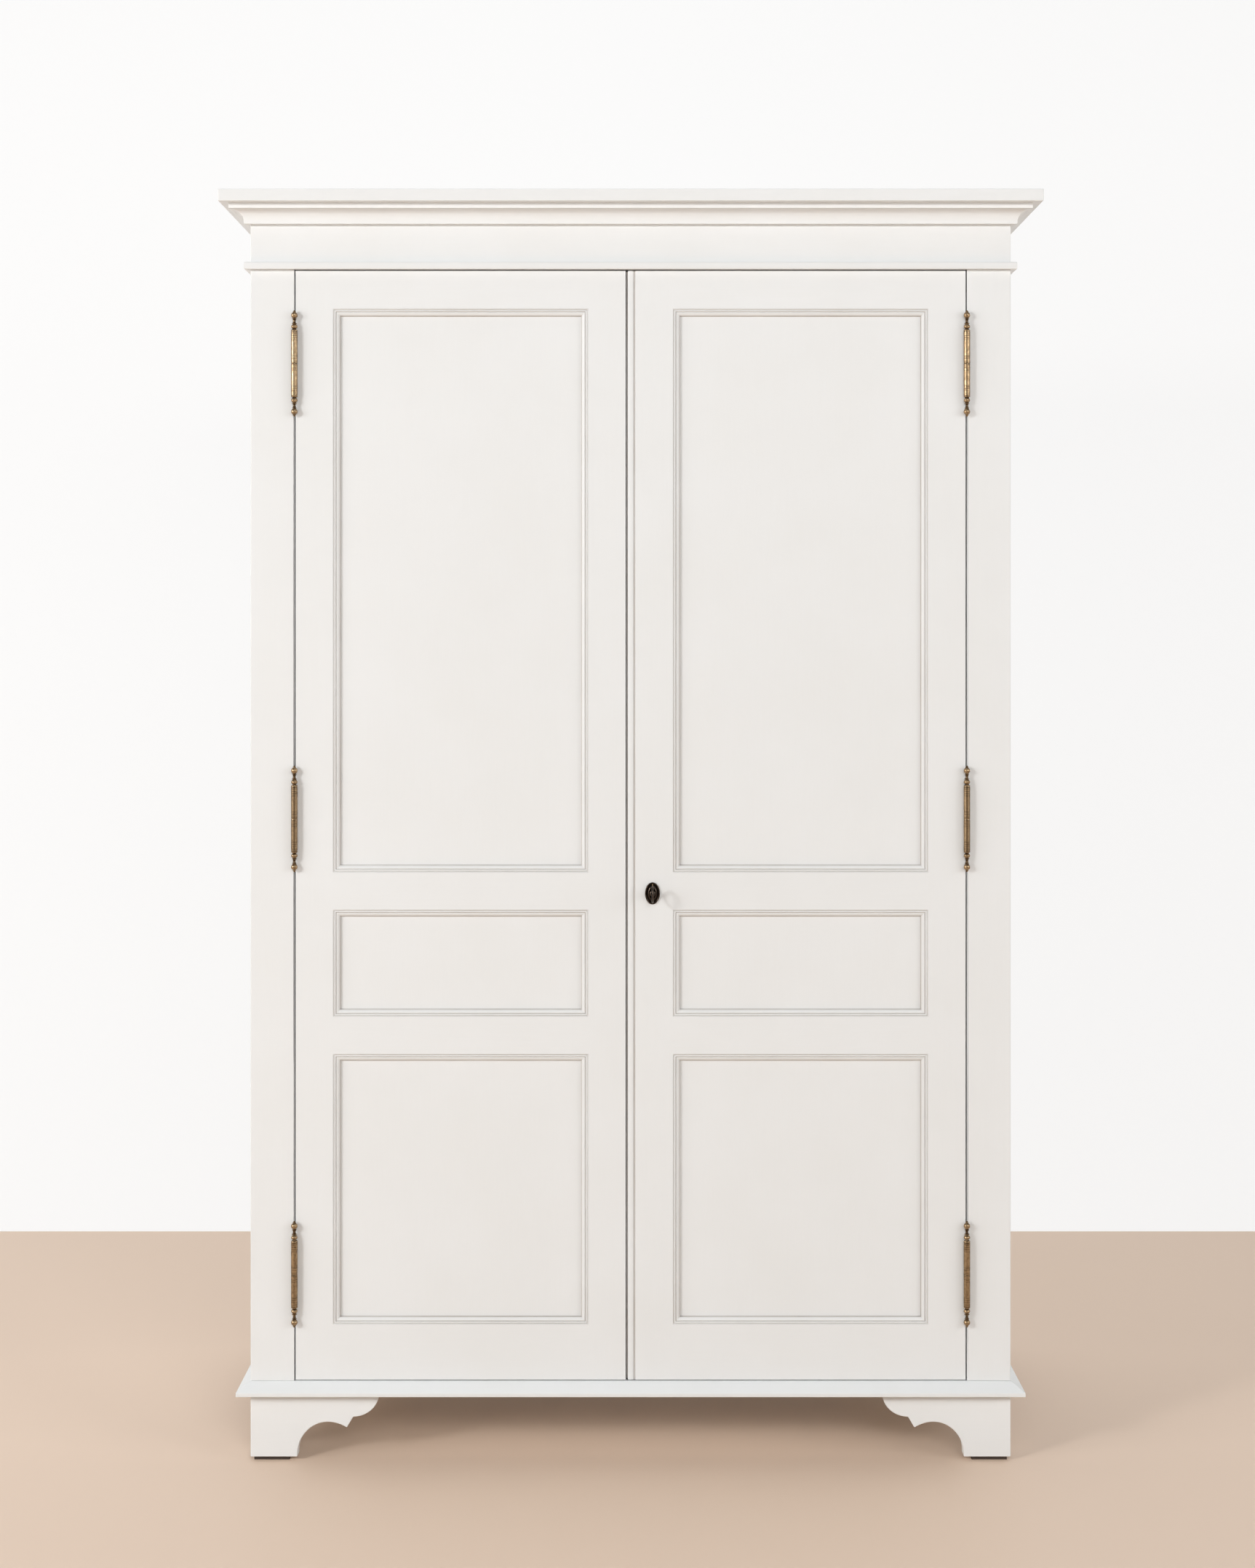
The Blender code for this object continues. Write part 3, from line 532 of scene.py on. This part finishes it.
def make_meeting_lip():
    """The painted lip on the right door that closes most of the gap between the doors."""
    low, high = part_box("right_door_bead_strip")
    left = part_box("left_door_meeting_stile")[1].x + 1.3 * MM
    lip = box_mesh((left, FRONT + 5 * MM, low.z + MM), (low.x, FRONT + 14 * MM, high.z - MM))
    lip = piece("meeting_lip", lip, "right_door", PAINT["Z"])
    # Painted shade: the whole lip is darkened, because it sits in the shadow of the gap between the doors.
    shade_vertices(lip, [0.6])
    ease(lip, 0.4 * MM)


def make_bead_strip():
    """The strip on the right door's meeting edge: a crowned face with a quirk beside the stile."""
    low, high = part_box("right_door_bead_strip")
    quirk, crown, deepest, edge = 3.2 * MM, 1.7 * MM, low.y + 2.2 * MM, high.x + FIT
    middle, half = (low.x + edge - quirk) / 2, (edge - quirk - low.x) / 2
    outline = arc((middle, low.y + crown), half, crown, 180, 350, 20)
    outline += [(edge - 0.65 * quirk, deepest), (edge - 0.35 * quirk, deepest),
                (edge - 0.1 * quirk, deepest - 0.5 * MM), (edge, deepest - 1.3 * MM),
                (edge, high.y), (low.x, high.y)]
    loops = [[(x, y, z) for x, y in outline] for z in (low.z, high.z)]
    strip = piece("meeting_bead", loft(*loops), "right_door", PAINT["Z"],
                  ("right_door_bead_strip",))
    # Painted shade in the quirk, darkest at its bottom.
    quirk_shade = [0.1, 0.2, 0.35, 0.6, 0.6, 0.4, 0.1, 0.0, 0.0]
    shade_vertices(strip, [0.0] * (len(outline) - len(quirk_shade)) + quirk_shade)


# ---- Feet --------------------------------------------------------------------------------------
def wing_outline(top):
    """One wing of a bracket foot, as (distance, height): leg, arch, cusp and ear."""
    leg, peak, cusp = (74 * MM, 10 * MM), (122 * MM, 61 * MM), (152 * MM, 52 * MM)
    ear, reach = (162 * MM, 69 * MM), 203 * MM
    arch = arc((peak[0], leg[1]), peak[0] - leg[0], peak[1] - leg[1], 180, 90, 20)
    fall = []
    steps = 8
    for i in range(1, steps + 1):
        share = i / steps
        fall.append((peak[0] + (cusp[0] - peak[0]) * share, peak[1] - (peak[1] - cusp[1]) * share ** 2))
    curl = arc((ear[0], top), reach - ear[0], top - ear[1], -90, 0, 16)
    return [(leg[0], GLIDE_TOP)] + arch + fall + curl


def make_foot(side, sign, depth):
    """A bracket foot with a wing along each face of its corner, and the glue block inside it."""
    node = f"foot_{depth}_{side}"
    low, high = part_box(node)
    corner_x, step_x = (low.x, 1) if sign < 0 else (high.x, -1)
    corner_y, step_y = (low.y, 1) if depth == "front" else (high.y, -1)
    wing = wing_outline(high.z)
    thick = FACE_BACK - FRONT

    def skin(inset):
        def place(along_x, along_y, z):
            return corner_x + step_x * along_x, corner_y + step_y * along_y, z
        across = [place(distance, inset, z) for distance, z in wing]
        along = [place(inset, distance, z) for distance, z in wing]
        return [place(inset, inset, GLIDE_TOP)] + across + [place(inset, inset, high.z)] + along[::-1]

    bm = bmesh.new()
    outer = [bm.verts.new(point) for point in skin(0)]
    inner = [bm.verts.new(point) for point in skin(thick)]
    fold = len(wing) + 1
    for loop in (outer, inner):
        bm.faces.new(loop[:fold + 1])
        bm.faces.new([loop[0]] + loop[fold:])
    bridge(bm, outer, inner)
    foot = piece(f"bracket_foot_{depth}_{side}", bm, "carcass", PAINT["X"], (node,), 30)
    ease(foot, 1.4 * MM, 3, 50)

    near, far = thick + FIT, thick + 42 * MM
    x_range = sorted((corner_x + step_x * near, corner_x + step_x * far))
    y_range = sorted((corner_y + step_y * near, corner_y + step_y * far))
    z_range = (GLIDE_TOP + 2 * MM, high.z - 4 * MM)
    block = box_mesh(*zip(x_range, y_range, z_range))
    block = piece(f"corner_block_{depth}_{side}", block, "carcass", INSIDE["Z"])
    ease(block, 1.5 * MM)


# ---- Hinges ------------------------------------------------------------------------------------
BARREL = 5.1 * MM
GROOVES = (2.6, 7.7, 11.2, 36.4, 40.0, 43.2, 47.4)      # distances from the joint, in mm


def barrel_profile():
    """The outside of a hinge half, from the joint to the tip, as (radius, distance, patina)."""
    points = [(BARREL - 0.5 * MM, 0.2 * MM, 0.9), (BARREL - 0.1 * MM, 0.35 * MM, 0.6),
              (BARREL, 0.7 * MM, 0.1)]
    for place in GROOVES:
        centre = place * MM
        for offset, cut, patina in ((-0.55, 0, 0.12), (-0.3, 0, 0.35), (-0.12, 0.3, 1.0), (0.12, 0.3, 1.0),
                                    (0.3, 0, 0.35), (0.55, 0, 0.12)):
            points.append((BARREL - cut * MM, centre + offset * MM, patina))
    rim = 50.4 * MM
    points += [(BARREL, rim - 0.5 * MM, 0.15), (BARREL - 0.5 * MM, rim - 0.2 * MM, 1.0),
               (BARREL - 0.5 * MM, rim + 0.2 * MM, 1.0), (BARREL, rim + 0.5 * MM, 0.2),
               (BARREL + 0.05 * MM, rim + 1.3 * MM, 0.0), (BARREL - 0.1 * MM, rim + 2.2 * MM, 0.1),
               (BARREL - 0.6 * MM, rim + 2.6 * MM, 0.7)]
    points += [(3.3 * MM, 53.4 * MM, 1.0), (3.2 * MM, 54.2 * MM, 1.0)]

    def ball(middle, radius, half_height, start, end, steps=12):
        for r, s in arc((0, middle), radius, half_height, start, end, steps):
            edge = abs(s - middle) / half_height
            points.append((r, s, max(0.0, edge - 0.62) * 2.2))

    ball(58.1 * MM, 5.05 * MM, 3.9 * MM, -56, 52)
    points.extend([(2.9 * MM, 61.9 * MM, 1.0), (3.0 * MM, 62.3 * MM, 0.9)])
    ball(63.2 * MM, 4.1 * MM, 0.85 * MM, -50, 60, 6)
    points.extend([(2.5 * MM, 64.4 * MM, 1.0), (2.15 * MM, 66.0 * MM, 0.85), (2.2 * MM, 67.4 * MM, 0.85),
                   (2.6 * MM, 69.0 * MM, 1.0)])
    ball(69.9 * MM, 3.6 * MM, 0.7 * MM, -55, 55, 6)
    points.extend([(2.9 * MM, 70.7 * MM, 1.0), (3.0 * MM, 71.2 * MM, 1.0)])
    ball(76.0 * MM, 5.1 * MM, 5.0 * MM, -56, 60, 14)
    points.extend([(2.3 * MM, 80.6 * MM, 1.0), (2.6 * MM, 81.0 * MM, 0.5), (2.5 * MM, 81.6 * MM, 0.4),
                   (1.7 * MM, 82.4 * MM, 0.7), (1.2 * MM, 83.4 * MM, 0.4), (0.6 * MM, 83.9 * MM, 0.3),
                   (0, 84.0 * MM, 0.3)])
    return points


def screw_heads(places, normal, radius=2.7 * MM, proud=0.25 * MM, slot=0.55 * MM):
    """Countersunk slotted heads, each two half domes with the slot between them."""
    bm = bmesh.new()
    layer = bm.verts.layers.float.new("patina")
    turn = Vector((0, 0, 1)).rotation_difference(Vector(normal)).to_matrix()
    steps, edge = 12, math.asin(slot / radius)
    dome = ((1.0, -0.5, 1.0), (1.0, 0.3, 0.5), (0.9, 0.75, 0.1), (0.55, 1.0, 0.0))
    for index, place in enumerate(places):
        slot_turn = Matrix.Rotation(0.5 + 1.9 * index, 3, "Z")      # each in a set at its own angle
        for half in (-1, 1):
            outline = []
            for i in range(steps + 1):
                a = edge + (math.pi - 2 * edge) * i / steps
                outline.append((radius * math.cos(a), half * radius * math.sin(a)))
            rows = []
            for share, height, patina in dome:
                row = []
                for x, y in outline:
                    y_in = half * max(slot, abs(y) * share)
                    flat = slot_turn @ Vector((x * share, y_in, proud * height))
                    vert = bm.verts.new(Vector(place) + turn @ flat)
                    vert[layer] = patina
                    row.append(vert)
                rows.append(row)
            close_rows(bm, rows)
    return bm


def make_hinge(side, sign, place):
    """Both halves of one lift-off hinge: turned barrels, leaves let into the edges, and their screws."""
    joint = JOINTS[side + "_door_hinge"]["pos_m"]
    axis_x, axis_y = joint[0], joint[1]
    gap = 0.2 * MM                                  # half the gap between the barrels
    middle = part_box(f"{side}_hinge_{place}_door_leaf")[0].z - gap
    outside = barrel_profile()
    bore_radius, bore_length, pin_radius, pin_length = 2.8 * MM, 42 * MM, 2.5 * MM, 39 * MM
    bore = [(0, bore_length, 1), (bore_radius, bore_length, 1), (bore_radius, gap, 1)]
    pin = [(pin_radius, -gap, 0.4), (pin_radius, pin_length - MM, 0.2), (1.8 * MM, pin_length, 0.2),
           (0, pin_length, 0.2)]
    below = [(radius, -along, patina) for radius, along, patina in reversed(outside)]
    halves = (("frame", below + pin, "carcass", sign, -1),
              ("door", bore + outside, side + "_door", -sign, 1))
    near, far, leaf_front, leaf_back = 1.2 * MM, 2.4 * MM, axis_y + 3.3 * MM, axis_y + 25.5 * MM
    for kind, profile, body, outward, up in halves:
        name = f"{side}_hinge_{place}_{kind}"
        barrel = turned(profile, (axis_x, axis_y, middle))
        piece(name + "_barrel", barrel, body, BRASS, (f"{name}_leaf",), 50)
        x_range = sorted((axis_x + outward * near, axis_x + outward * far))
        z_range = sorted((middle + up * 3 * MM, middle + up * 51 * MM))
        leaf = box_mesh(*zip(x_range, (leaf_front, leaf_back), z_range))
        leaf = piece(name + "_plate", leaf, body, BRASS)
        ease(leaf, 0.25 * MM, 2)
        places = [(axis_x + outward * near, axis_y + across * MM, middle + up * along * MM)
                  for across, along in ((14, 10), (18, 27), (14, 44))]
        heads = screw_heads(places, (-outward, 0, 0))
        piece(name + "_screws", heads, body, BRASS)


# ---- Lock, escutcheon and key ------------------------------------------------------------------
def oval_rings(centre, y_front, rings):
    """An oval plate from (half width, half height, depth, patina) rings, back of the rim first."""
    steps = 64
    bm = bmesh.new()
    layer = bm.verts.layers.float.new("patina")
    rows = []
    for half_x, half_z, depth, patina in rings:
        row = []
        for i in range(steps):
            angle = math.tau * i / steps
            vert = bm.verts.new((centre[0] + half_x * math.cos(angle), y_front + depth,
                                 centre[1] + half_z * math.sin(angle)))
            vert[layer] = patina
            row.append(vert)
        rows.append(row)
    close_rows(bm, rows)
    return bm


def make_escutcheon():
    """An oval plate with a rolled rim, a dished field, a raised oval round the keyhole and two pins."""
    low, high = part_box("escutcheon")
    centre = ((low.x + high.x) / 2, (low.z + high.z) / 2)
    half_x, half_z = (high.x - low.x) / 2, (high.z - low.z) / 2
    key_x, _, key_z = JOINTS["key_turn"]["pos_m"]
    # The patina values lighten the bronze on the crest of the rolled rim and on the raised oval: partly
    # rubbed wear, partly a painted highlight.
    rings = [(half_x, half_z, 2.4 * MM, 0.0), (half_x, half_z, 1.3 * MM, 0.3)]
    for i in range(1, 9):                       # the rolled rim
        angle = math.pi * i / 9
        inset = 1.1 * MM * (1 - math.cos(angle))
        rings.append((half_x - inset, half_z - inset, (1.3 - 1.25 * math.sin(angle)) * MM, math.sin(angle)))
    rings += [(half_x - 2.4 * MM, half_z - 2.4 * MM, 1.45 * MM, 0.0),
              (half_x - 4.2 * MM, half_z - 4.6 * MM, 1.3 * MM, 0.05),
              (half_x - 5.2 * MM, half_z - 6.6 * MM, 1.1 * MM, 0.3),
              (half_x - 5.7 * MM, half_z - 7.2 * MM, 0.5 * MM, 0.9),
              (half_x - 6.3 * MM, half_z - 7.9 * MM, 0.35 * MM, 0.8),
              (half_x - 7.0 * MM, half_z - 8.8 * MM, 0.6 * MM, 0.1)]
    plate = piece("escutcheon_plate", oval_rings(centre, low.y, rings), "right_door", BRONZE,
                  ("escutcheon",), 60)
    half_slot, radius, foot = 1.8 * MM, 3.6 * MM, key_z - 13.4 * MM
    meet = math.degrees(math.asin(half_slot / radius))
    outline = arc((key_x, key_z), radius, radius, -90 + meet, 270 - meet, 24)
    outline += [(key_x - half_slot, foot), (key_x + half_slot, foot)]
    loops = [[(x, y, z) for x, z in outline] for y in (low.y - 5 * MM, high.y + 5 * MM)]
    carve(plate, loft(*loops))
    for name, z, radius in (("upper", centre[1] + half_z - 4.0 * MM, 1.1 * MM),
                            ("lower", centre[1] - half_z + 3.4 * MM, 1.2 * MM)):
        dome = [(0, -1.0 * MM, 0.2), (radius, -1.0 * MM, 0.5), (radius, 0, 0.4)]
        dome += [(r, s, 0.0) for r, s in arc((0, 0), radius, 0.8 * MM, 15, 75, 5)] + [(0, 0.8 * MM, 0.0)]
        pin = turned(dome, (centre[0], low.y + 1.0 * MM, z), (0, -1, 0), 20)
        piece(f"escutcheon_pin_{name}", pin, "right_door", BRASS)


def make_key():
    """A ring bow seen edge on, a shank with turned collars, and a notched bit inside the lock."""
    key_x, _, key_z = JOINTS["key_turn"]["pos_m"]
    low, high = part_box("key")
    bow_deep, bow_high, rim = 11 * MM, 13.5 * MM, 2.1 * MM
    bow_y = low.y + bow_deep
    bm = bmesh.new()
    layer = bm.verts.layers.float.new("patina")
    steps, sides, half_thick = 56, 16, 1.5 * MM
    rings = []
    for i in range(steps):
        angle = math.tau * i / steps
        out = Vector((0, math.cos(angle) / bow_deep, math.sin(angle) / bow_high)).normalized()
        line = Vector((key_x, bow_y + (bow_deep - rim) * math.cos(angle),
                       key_z + (bow_high - rim) * math.sin(angle)))
        ring = []
        for j in range(sides):
            turn = math.tau * j / sides
            aside = Vector((half_thick * math.sin(turn), 0, 0))
            vert = bm.verts.new(line + out * rim * math.cos(turn) + aside)
            # Lighter on the outer half of the ring: partly rubbed wear, partly a painted highlight.
            vert[layer] = max(0.0, math.cos(turn)) * 0.9
            ring.append(vert)
        rings.append(ring)
    for i, ring in enumerate(rings):
        bridge(bm, rings[i - 1], ring)
    piece("key_bow", bm, "key", BRONZE, ("key",), 80)

    start = bow_y + bow_deep - 2.6 * MM
    shank = 3 * MM
    profile = [(0, 0, 0), (2.2 * MM, 0, 0), (2.6 * MM, 0.8 * MM, 0.2)]
    # The patina values lighten the bronze on the collars: partly rubbed wear, partly a painted highlight.
    profile += [(r, s, 0.8) for r, s in arc((3.0 * MM, 2.6 * MM), 1.5 * MM, 0.9 * MM, -80, 80, 8)]
    profile += [(2.7 * MM, 3.9 * MM, 0.0), (shank, 4.6 * MM, 0.2)]
    profile += [(r, s, 0.7) for r, s in arc((shank, 5.6 * MM), 0.9 * MM, 0.6 * MM, -80, 80, 6)]
    profile += [(shank, 6.6 * MM, 0.1), (shank, high.y - start - 0.5 * MM, 0.3),
                (shank - 0.5 * MM, high.y - start, 0.5), (0, high.y - start, 0.5)]
    piece("key_shank", turned(profile, (key_x, start, key_z), (0, 1, 0), 32), "key", BRONZE,
          ("key",), 50)

    front, back = -243 * MM, -236.5 * MM            # inside the lock case
    notch, tip, half_thick = 2.2 * MM, 12 * MM, 1.2 * MM
    notch_front, notch_back = front + 2 * MM, front + 3.6 * MM
    outline = [(front, -2 * MM), (front, -tip), (notch_front, -tip), (notch_front, -tip + notch),
               (notch_back, -tip + notch), (notch_back, -tip), (back, -tip), (back, -2 * MM)]
    loops = [[(x, y, key_z + z) for y, z in outline] for x in (key_x - half_thick, key_x + half_thick)]
    bit = piece("key_bit", loft(*loops), "key", BRONZE, ("key",))
    ease(bit, 0.2 * MM, 2)


# ---- Inside fittings ---------------------------------------------------------------------------
def make_hanging_rail():
    """A tube between the sides, with a flange and three screws at each end."""
    low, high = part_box("hanging_rail")
    centre_y, centre_z = (low.y + high.y) / 2, (low.z + high.z) / 2
    reach, tube, flange = high.x, 12.5 * MM, (high.z - low.z) / 2
    end = [(0, reach, 0), (flange - 0.8 * MM, reach, 0), (flange, reach - 0.8 * MM, 0),
           (flange, reach - 2.4 * MM, 0), (flange - 1.2 * MM, reach - 3.6 * MM, 0),
           (tube + 2.5 * MM, reach - 4.0 * MM, 0), (tube + 2.2 * MM, reach - 9 * MM, 0),
           (tube + 1.6 * MM, reach - 9.8 * MM, 0), (tube, reach - 10 * MM, 0)]
    profile = [(radius, -along, patina) for radius, along, patina in end] + end[::-1]
    rail = turned(profile, (0, centre_y, centre_z), (1, 0, 0), 48)
    piece("hanging_rail_tube", rail, "carcass", STEEL, ("hanging_rail",), 30)
    ring = flange - 4.6 * MM
    for side, sign in SIDES:
        places = []
        for i in range(3):
            angle = math.pi / 2 + math.tau * i / 3
            places.append((sign * (reach - 3.9 * MM), centre_y + ring * math.cos(angle),
                           centre_z + ring * math.sin(angle)))
        heads = screw_heads(places, (-sign, 0, 0), 2.4 * MM, 0.5 * MM)
        piece(f"{side}_rail_screws", heads, "carcass", STEEL)


def make_shelf_cleats():
    """Battens that carry the hat shelf, screwed to the sides and the back."""
    low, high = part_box("hat_shelf")
    tall, thick = 30 * MM, 18 * MM
    top, bottom = low.z - FIT, low.z - FIT - tall
    for side, sign in SIDES:
        x_range = sorted((sign * high.x, sign * (high.x - thick)))
        cleat = box_mesh((x_range[0], low.y + 30 * MM, bottom), (x_range[1], high.y - thick - FIT, top))
        cleat = piece(f"{side}_shelf_cleat", cleat, "carcass", INSIDE["Y"])
        ease(cleat, 1.2 * MM)
        places = [(sign * (high.x - thick), low.y + share * (high.y - low.y), (top + bottom) / 2)
                  for share in (0.15, 0.5, 0.85)]
        heads = screw_heads(places, (-sign, 0, 0), 3.6 * MM, 0.4 * MM, 0.7 * MM)
        piece(f"{side}_cleat_screws", heads, "carcass", STEEL)
    cleat = box_mesh((low.x + FIT, high.y - thick, bottom), (high.x - FIT, high.y, top))
    ease(piece("back_shelf_cleat", cleat, "carcass", INSIDE["X"]), 1.2 * MM)


def make_small_screws():
    """Screws on the lock case and the flush bolts' plates."""
    low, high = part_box("lock_case")
    inset = 5 * MM
    columns, rows = (low.x + inset, high.x - inset), (low.z + inset, high.z - inset)
    heads = screw_heads([(x, high.y, z) for x in columns for z in rows], (0, 1, 0), 2.6 * MM, 0.6 * MM)
    piece("lock_case_screws", heads, "right_door", BRASS)
    inset = 12 * MM
    for end in ("top", "bottom"):
        low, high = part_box(end + "_bolt_plate")
        places = [(high.x, (low.y + high.y) / 2, z) for z in (low.z + inset, high.z - inset)]
        heads = screw_heads(places, (1, 0, 0), 2.6 * MM, 0.2 * MM)
        piece(end + "_bolt_plate_screws", heads, "left_door", BRASS)


def make_back_screws():
    """Screws round the edge of the back, and a row into the batten below the shelf."""
    low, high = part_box("back_panel")
    shelf_low, shelf_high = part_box("hat_shelf")
    inset, wide_count, tall_count = 12 * MM, 6, 10
    left, right, bottom, top = low.x + inset, high.x - inset, low.z + inset, high.z - inset
    batten = (shelf_low.z + shelf_high.z) / 2 - 25 * MM
    places = [(left + (right - left) * i / (wide_count - 1), high.y, z)
              for z in (bottom, top, batten) for i in range(wide_count)]
    places += [(x, high.y, bottom + (top - bottom) * i / (tall_count - 1))
               for x in (left, right) for i in range(1, tall_count - 1)]
    heads = screw_heads(places, (0, 1, 0), 3.4 * MM, 0.4 * MM, 0.7 * MM)
    piece("back_panel_screws", heads, "carcass", STEEL)


# ---- Studio ------------------------------------------------------------------------------------
def stage_plane(name, corners, colour, roughness, glow=0.0):
    """A plain sheet that shows from its front only, so that other views can look in from behind it."""
    bm = bmesh.new()
    bm.faces.new([bm.verts.new(corner) for corner in corners])
    mesh = bpy.data.meshes.new(name)
    bm.to_mesh(mesh)
    bm.free()
    shading = Shading(name)
    darker = tuple(value * 0.985 for value in colour)
    shading.colour(shading.mixed(shading.noise(1.5, 2.0), colour, darker))
    shading.shader.inputs["Roughness"].default_value = roughness
    shading.shader.inputs["Emission Color"].default_value = (1, 1, 1, 1)
    shading.shader.inputs["Emission Strength"].default_value = glow
    side = shading.tree.nodes.new("ShaderNodeNewGeometry")
    clear = shading.tree.nodes.new("ShaderNodeBsdfTransparent")
    choice = shading.tree.nodes.new("ShaderNodeMixShader")
    shading.link(side.outputs["Backfacing"], choice.inputs["Fac"])
    shading.link(shading.shader.outputs["BSDF"], choice.inputs[1])
    shading.link(clear.outputs["BSDF"], choice.inputs[2])
    shading.link(choice.outputs["Shader"], shading.tree.nodes["Material Output"].inputs["Surface"])
    mesh.materials.append(shading.material)
    item = bpy.data.objects.new(name, mesh)
    bpy.context.scene.collection.objects.link(item)


def soft_light(name, place, target, size, power):
    """A white rectangle of light that the camera doesn't see."""
    light = bpy.data.lights.new(name, "AREA")
    light.shape = "RECTANGLE"
    light.size, light.size_y = size
    light.energy = power
    item = bpy.data.objects.new(name, light)
    item.location = place
    item.rotation_euler = (Vector(target) - Vector(place)).to_track_quat("-Z", "Y").to_euler()
    item.visible_camera = False
    bpy.context.scene.collection.objects.link(item)


# name, place, target, size and power in watts
LIGHTS = (("key_light", (-4.6, -4.1, 2.75), (0.0, -0.2, 1.0), (0.9, 0.9), 98),
          ("left_window", (-4.4, -2.7, 2.05), (-0.1, -0.3, 0.8), (3.0, 1.8), 114),
          ("right_window", (4.4, -2.7, 2.05), (0.1, -0.3, 0.8), (3.0, 1.8), 91),
          ("front_window", (1.4, -7.0, 3.9), (0.1, -0.3, 0.5), (4.0, 1.4), 160),
          ("ceiling", (0.0, -0.4, 3.7), (0.0, -0.4, 0.0), (2.4, 1.4), 14))


def make_studio():
    wall_y, reach, tall = 1.05, 6.0, 5.0
    ground = ((-reach, -reach, 0), (reach, -reach, 0), (reach, reach, 0), (-reach, reach, 0))
    stage_plane("floor", ground, (0.79, 0.62, 0.49), 0.55)
    wall = ((-reach, wall_y, 0), (reach, wall_y, 0), (reach, wall_y, tall), (-reach, wall_y, tall))
    stage_plane("backdrop", wall, (0.15, 0.15, 0.148), 0.8, 0.785)
    for name, place, target, size, power in LIGHTS:
        soft_light(name, place, target, size, power)
    world = bpy.data.worlds.new("studio")
    world.use_nodes = True
    nodes, links = world.node_tree.nodes, world.node_tree.links
    dim, seen = nodes["Background"], nodes.new("ShaderNodeBackground")
    dim.inputs["Strength"].default_value = 0.12
    seen.inputs["Color"].default_value = (0.92, 0.92, 0.91, 1)
    rays, choice = nodes.new("ShaderNodeLightPath"), nodes.new("ShaderNodeMixShader")
    links.new(rays.outputs["Is Camera Ray"], choice.inputs["Fac"])
    links.new(dim.outputs["Background"], choice.inputs[1])
    links.new(seen.outputs["Background"], choice.inputs[2])
    links.new(choice.outputs["Shader"], nodes["World Output"].inputs["Surface"])
    bpy.context.scene.world = world
    bpy.context.scene.view_settings.view_transform = "Standard"


def make_camera():
    """A level view of the front from the middle, with the horizon above the picture's middle."""
    camera = bpy.data.cameras.new("camera")
    camera.lens, camera.sensor_width = 50, 36
    camera.shift_y = -0.0963
    item = bpy.data.objects.new("camera", camera)
    aside, distance, eye_height = -0.0049, 3.439, 1.307
    item.location = (aside, FRONT - distance, eye_height)
    item.rotation_euler = (math.pi / 2, 0, 0)
    bpy.context.scene.collection.objects.link(item)
    bpy.context.scene.camera = item


make_camera()
dress_boards()
make_body_mouldings()
make_base_board()
make_panel_mouldings()
for side, _ in SIDES:
    make_door_frame(side)
make_bead_strip()
make_meeting_lip()
for side, sign in SIDES:
    for depth in ("front", "back"):
        make_foot(side, sign, depth)
    for place in HINGE_PLACES:
        make_hinge(side, sign, place)
make_escutcheon()
make_key()
make_hanging_rail()
make_shelf_cleats()
make_small_screws()
make_back_screws()
make_studio()
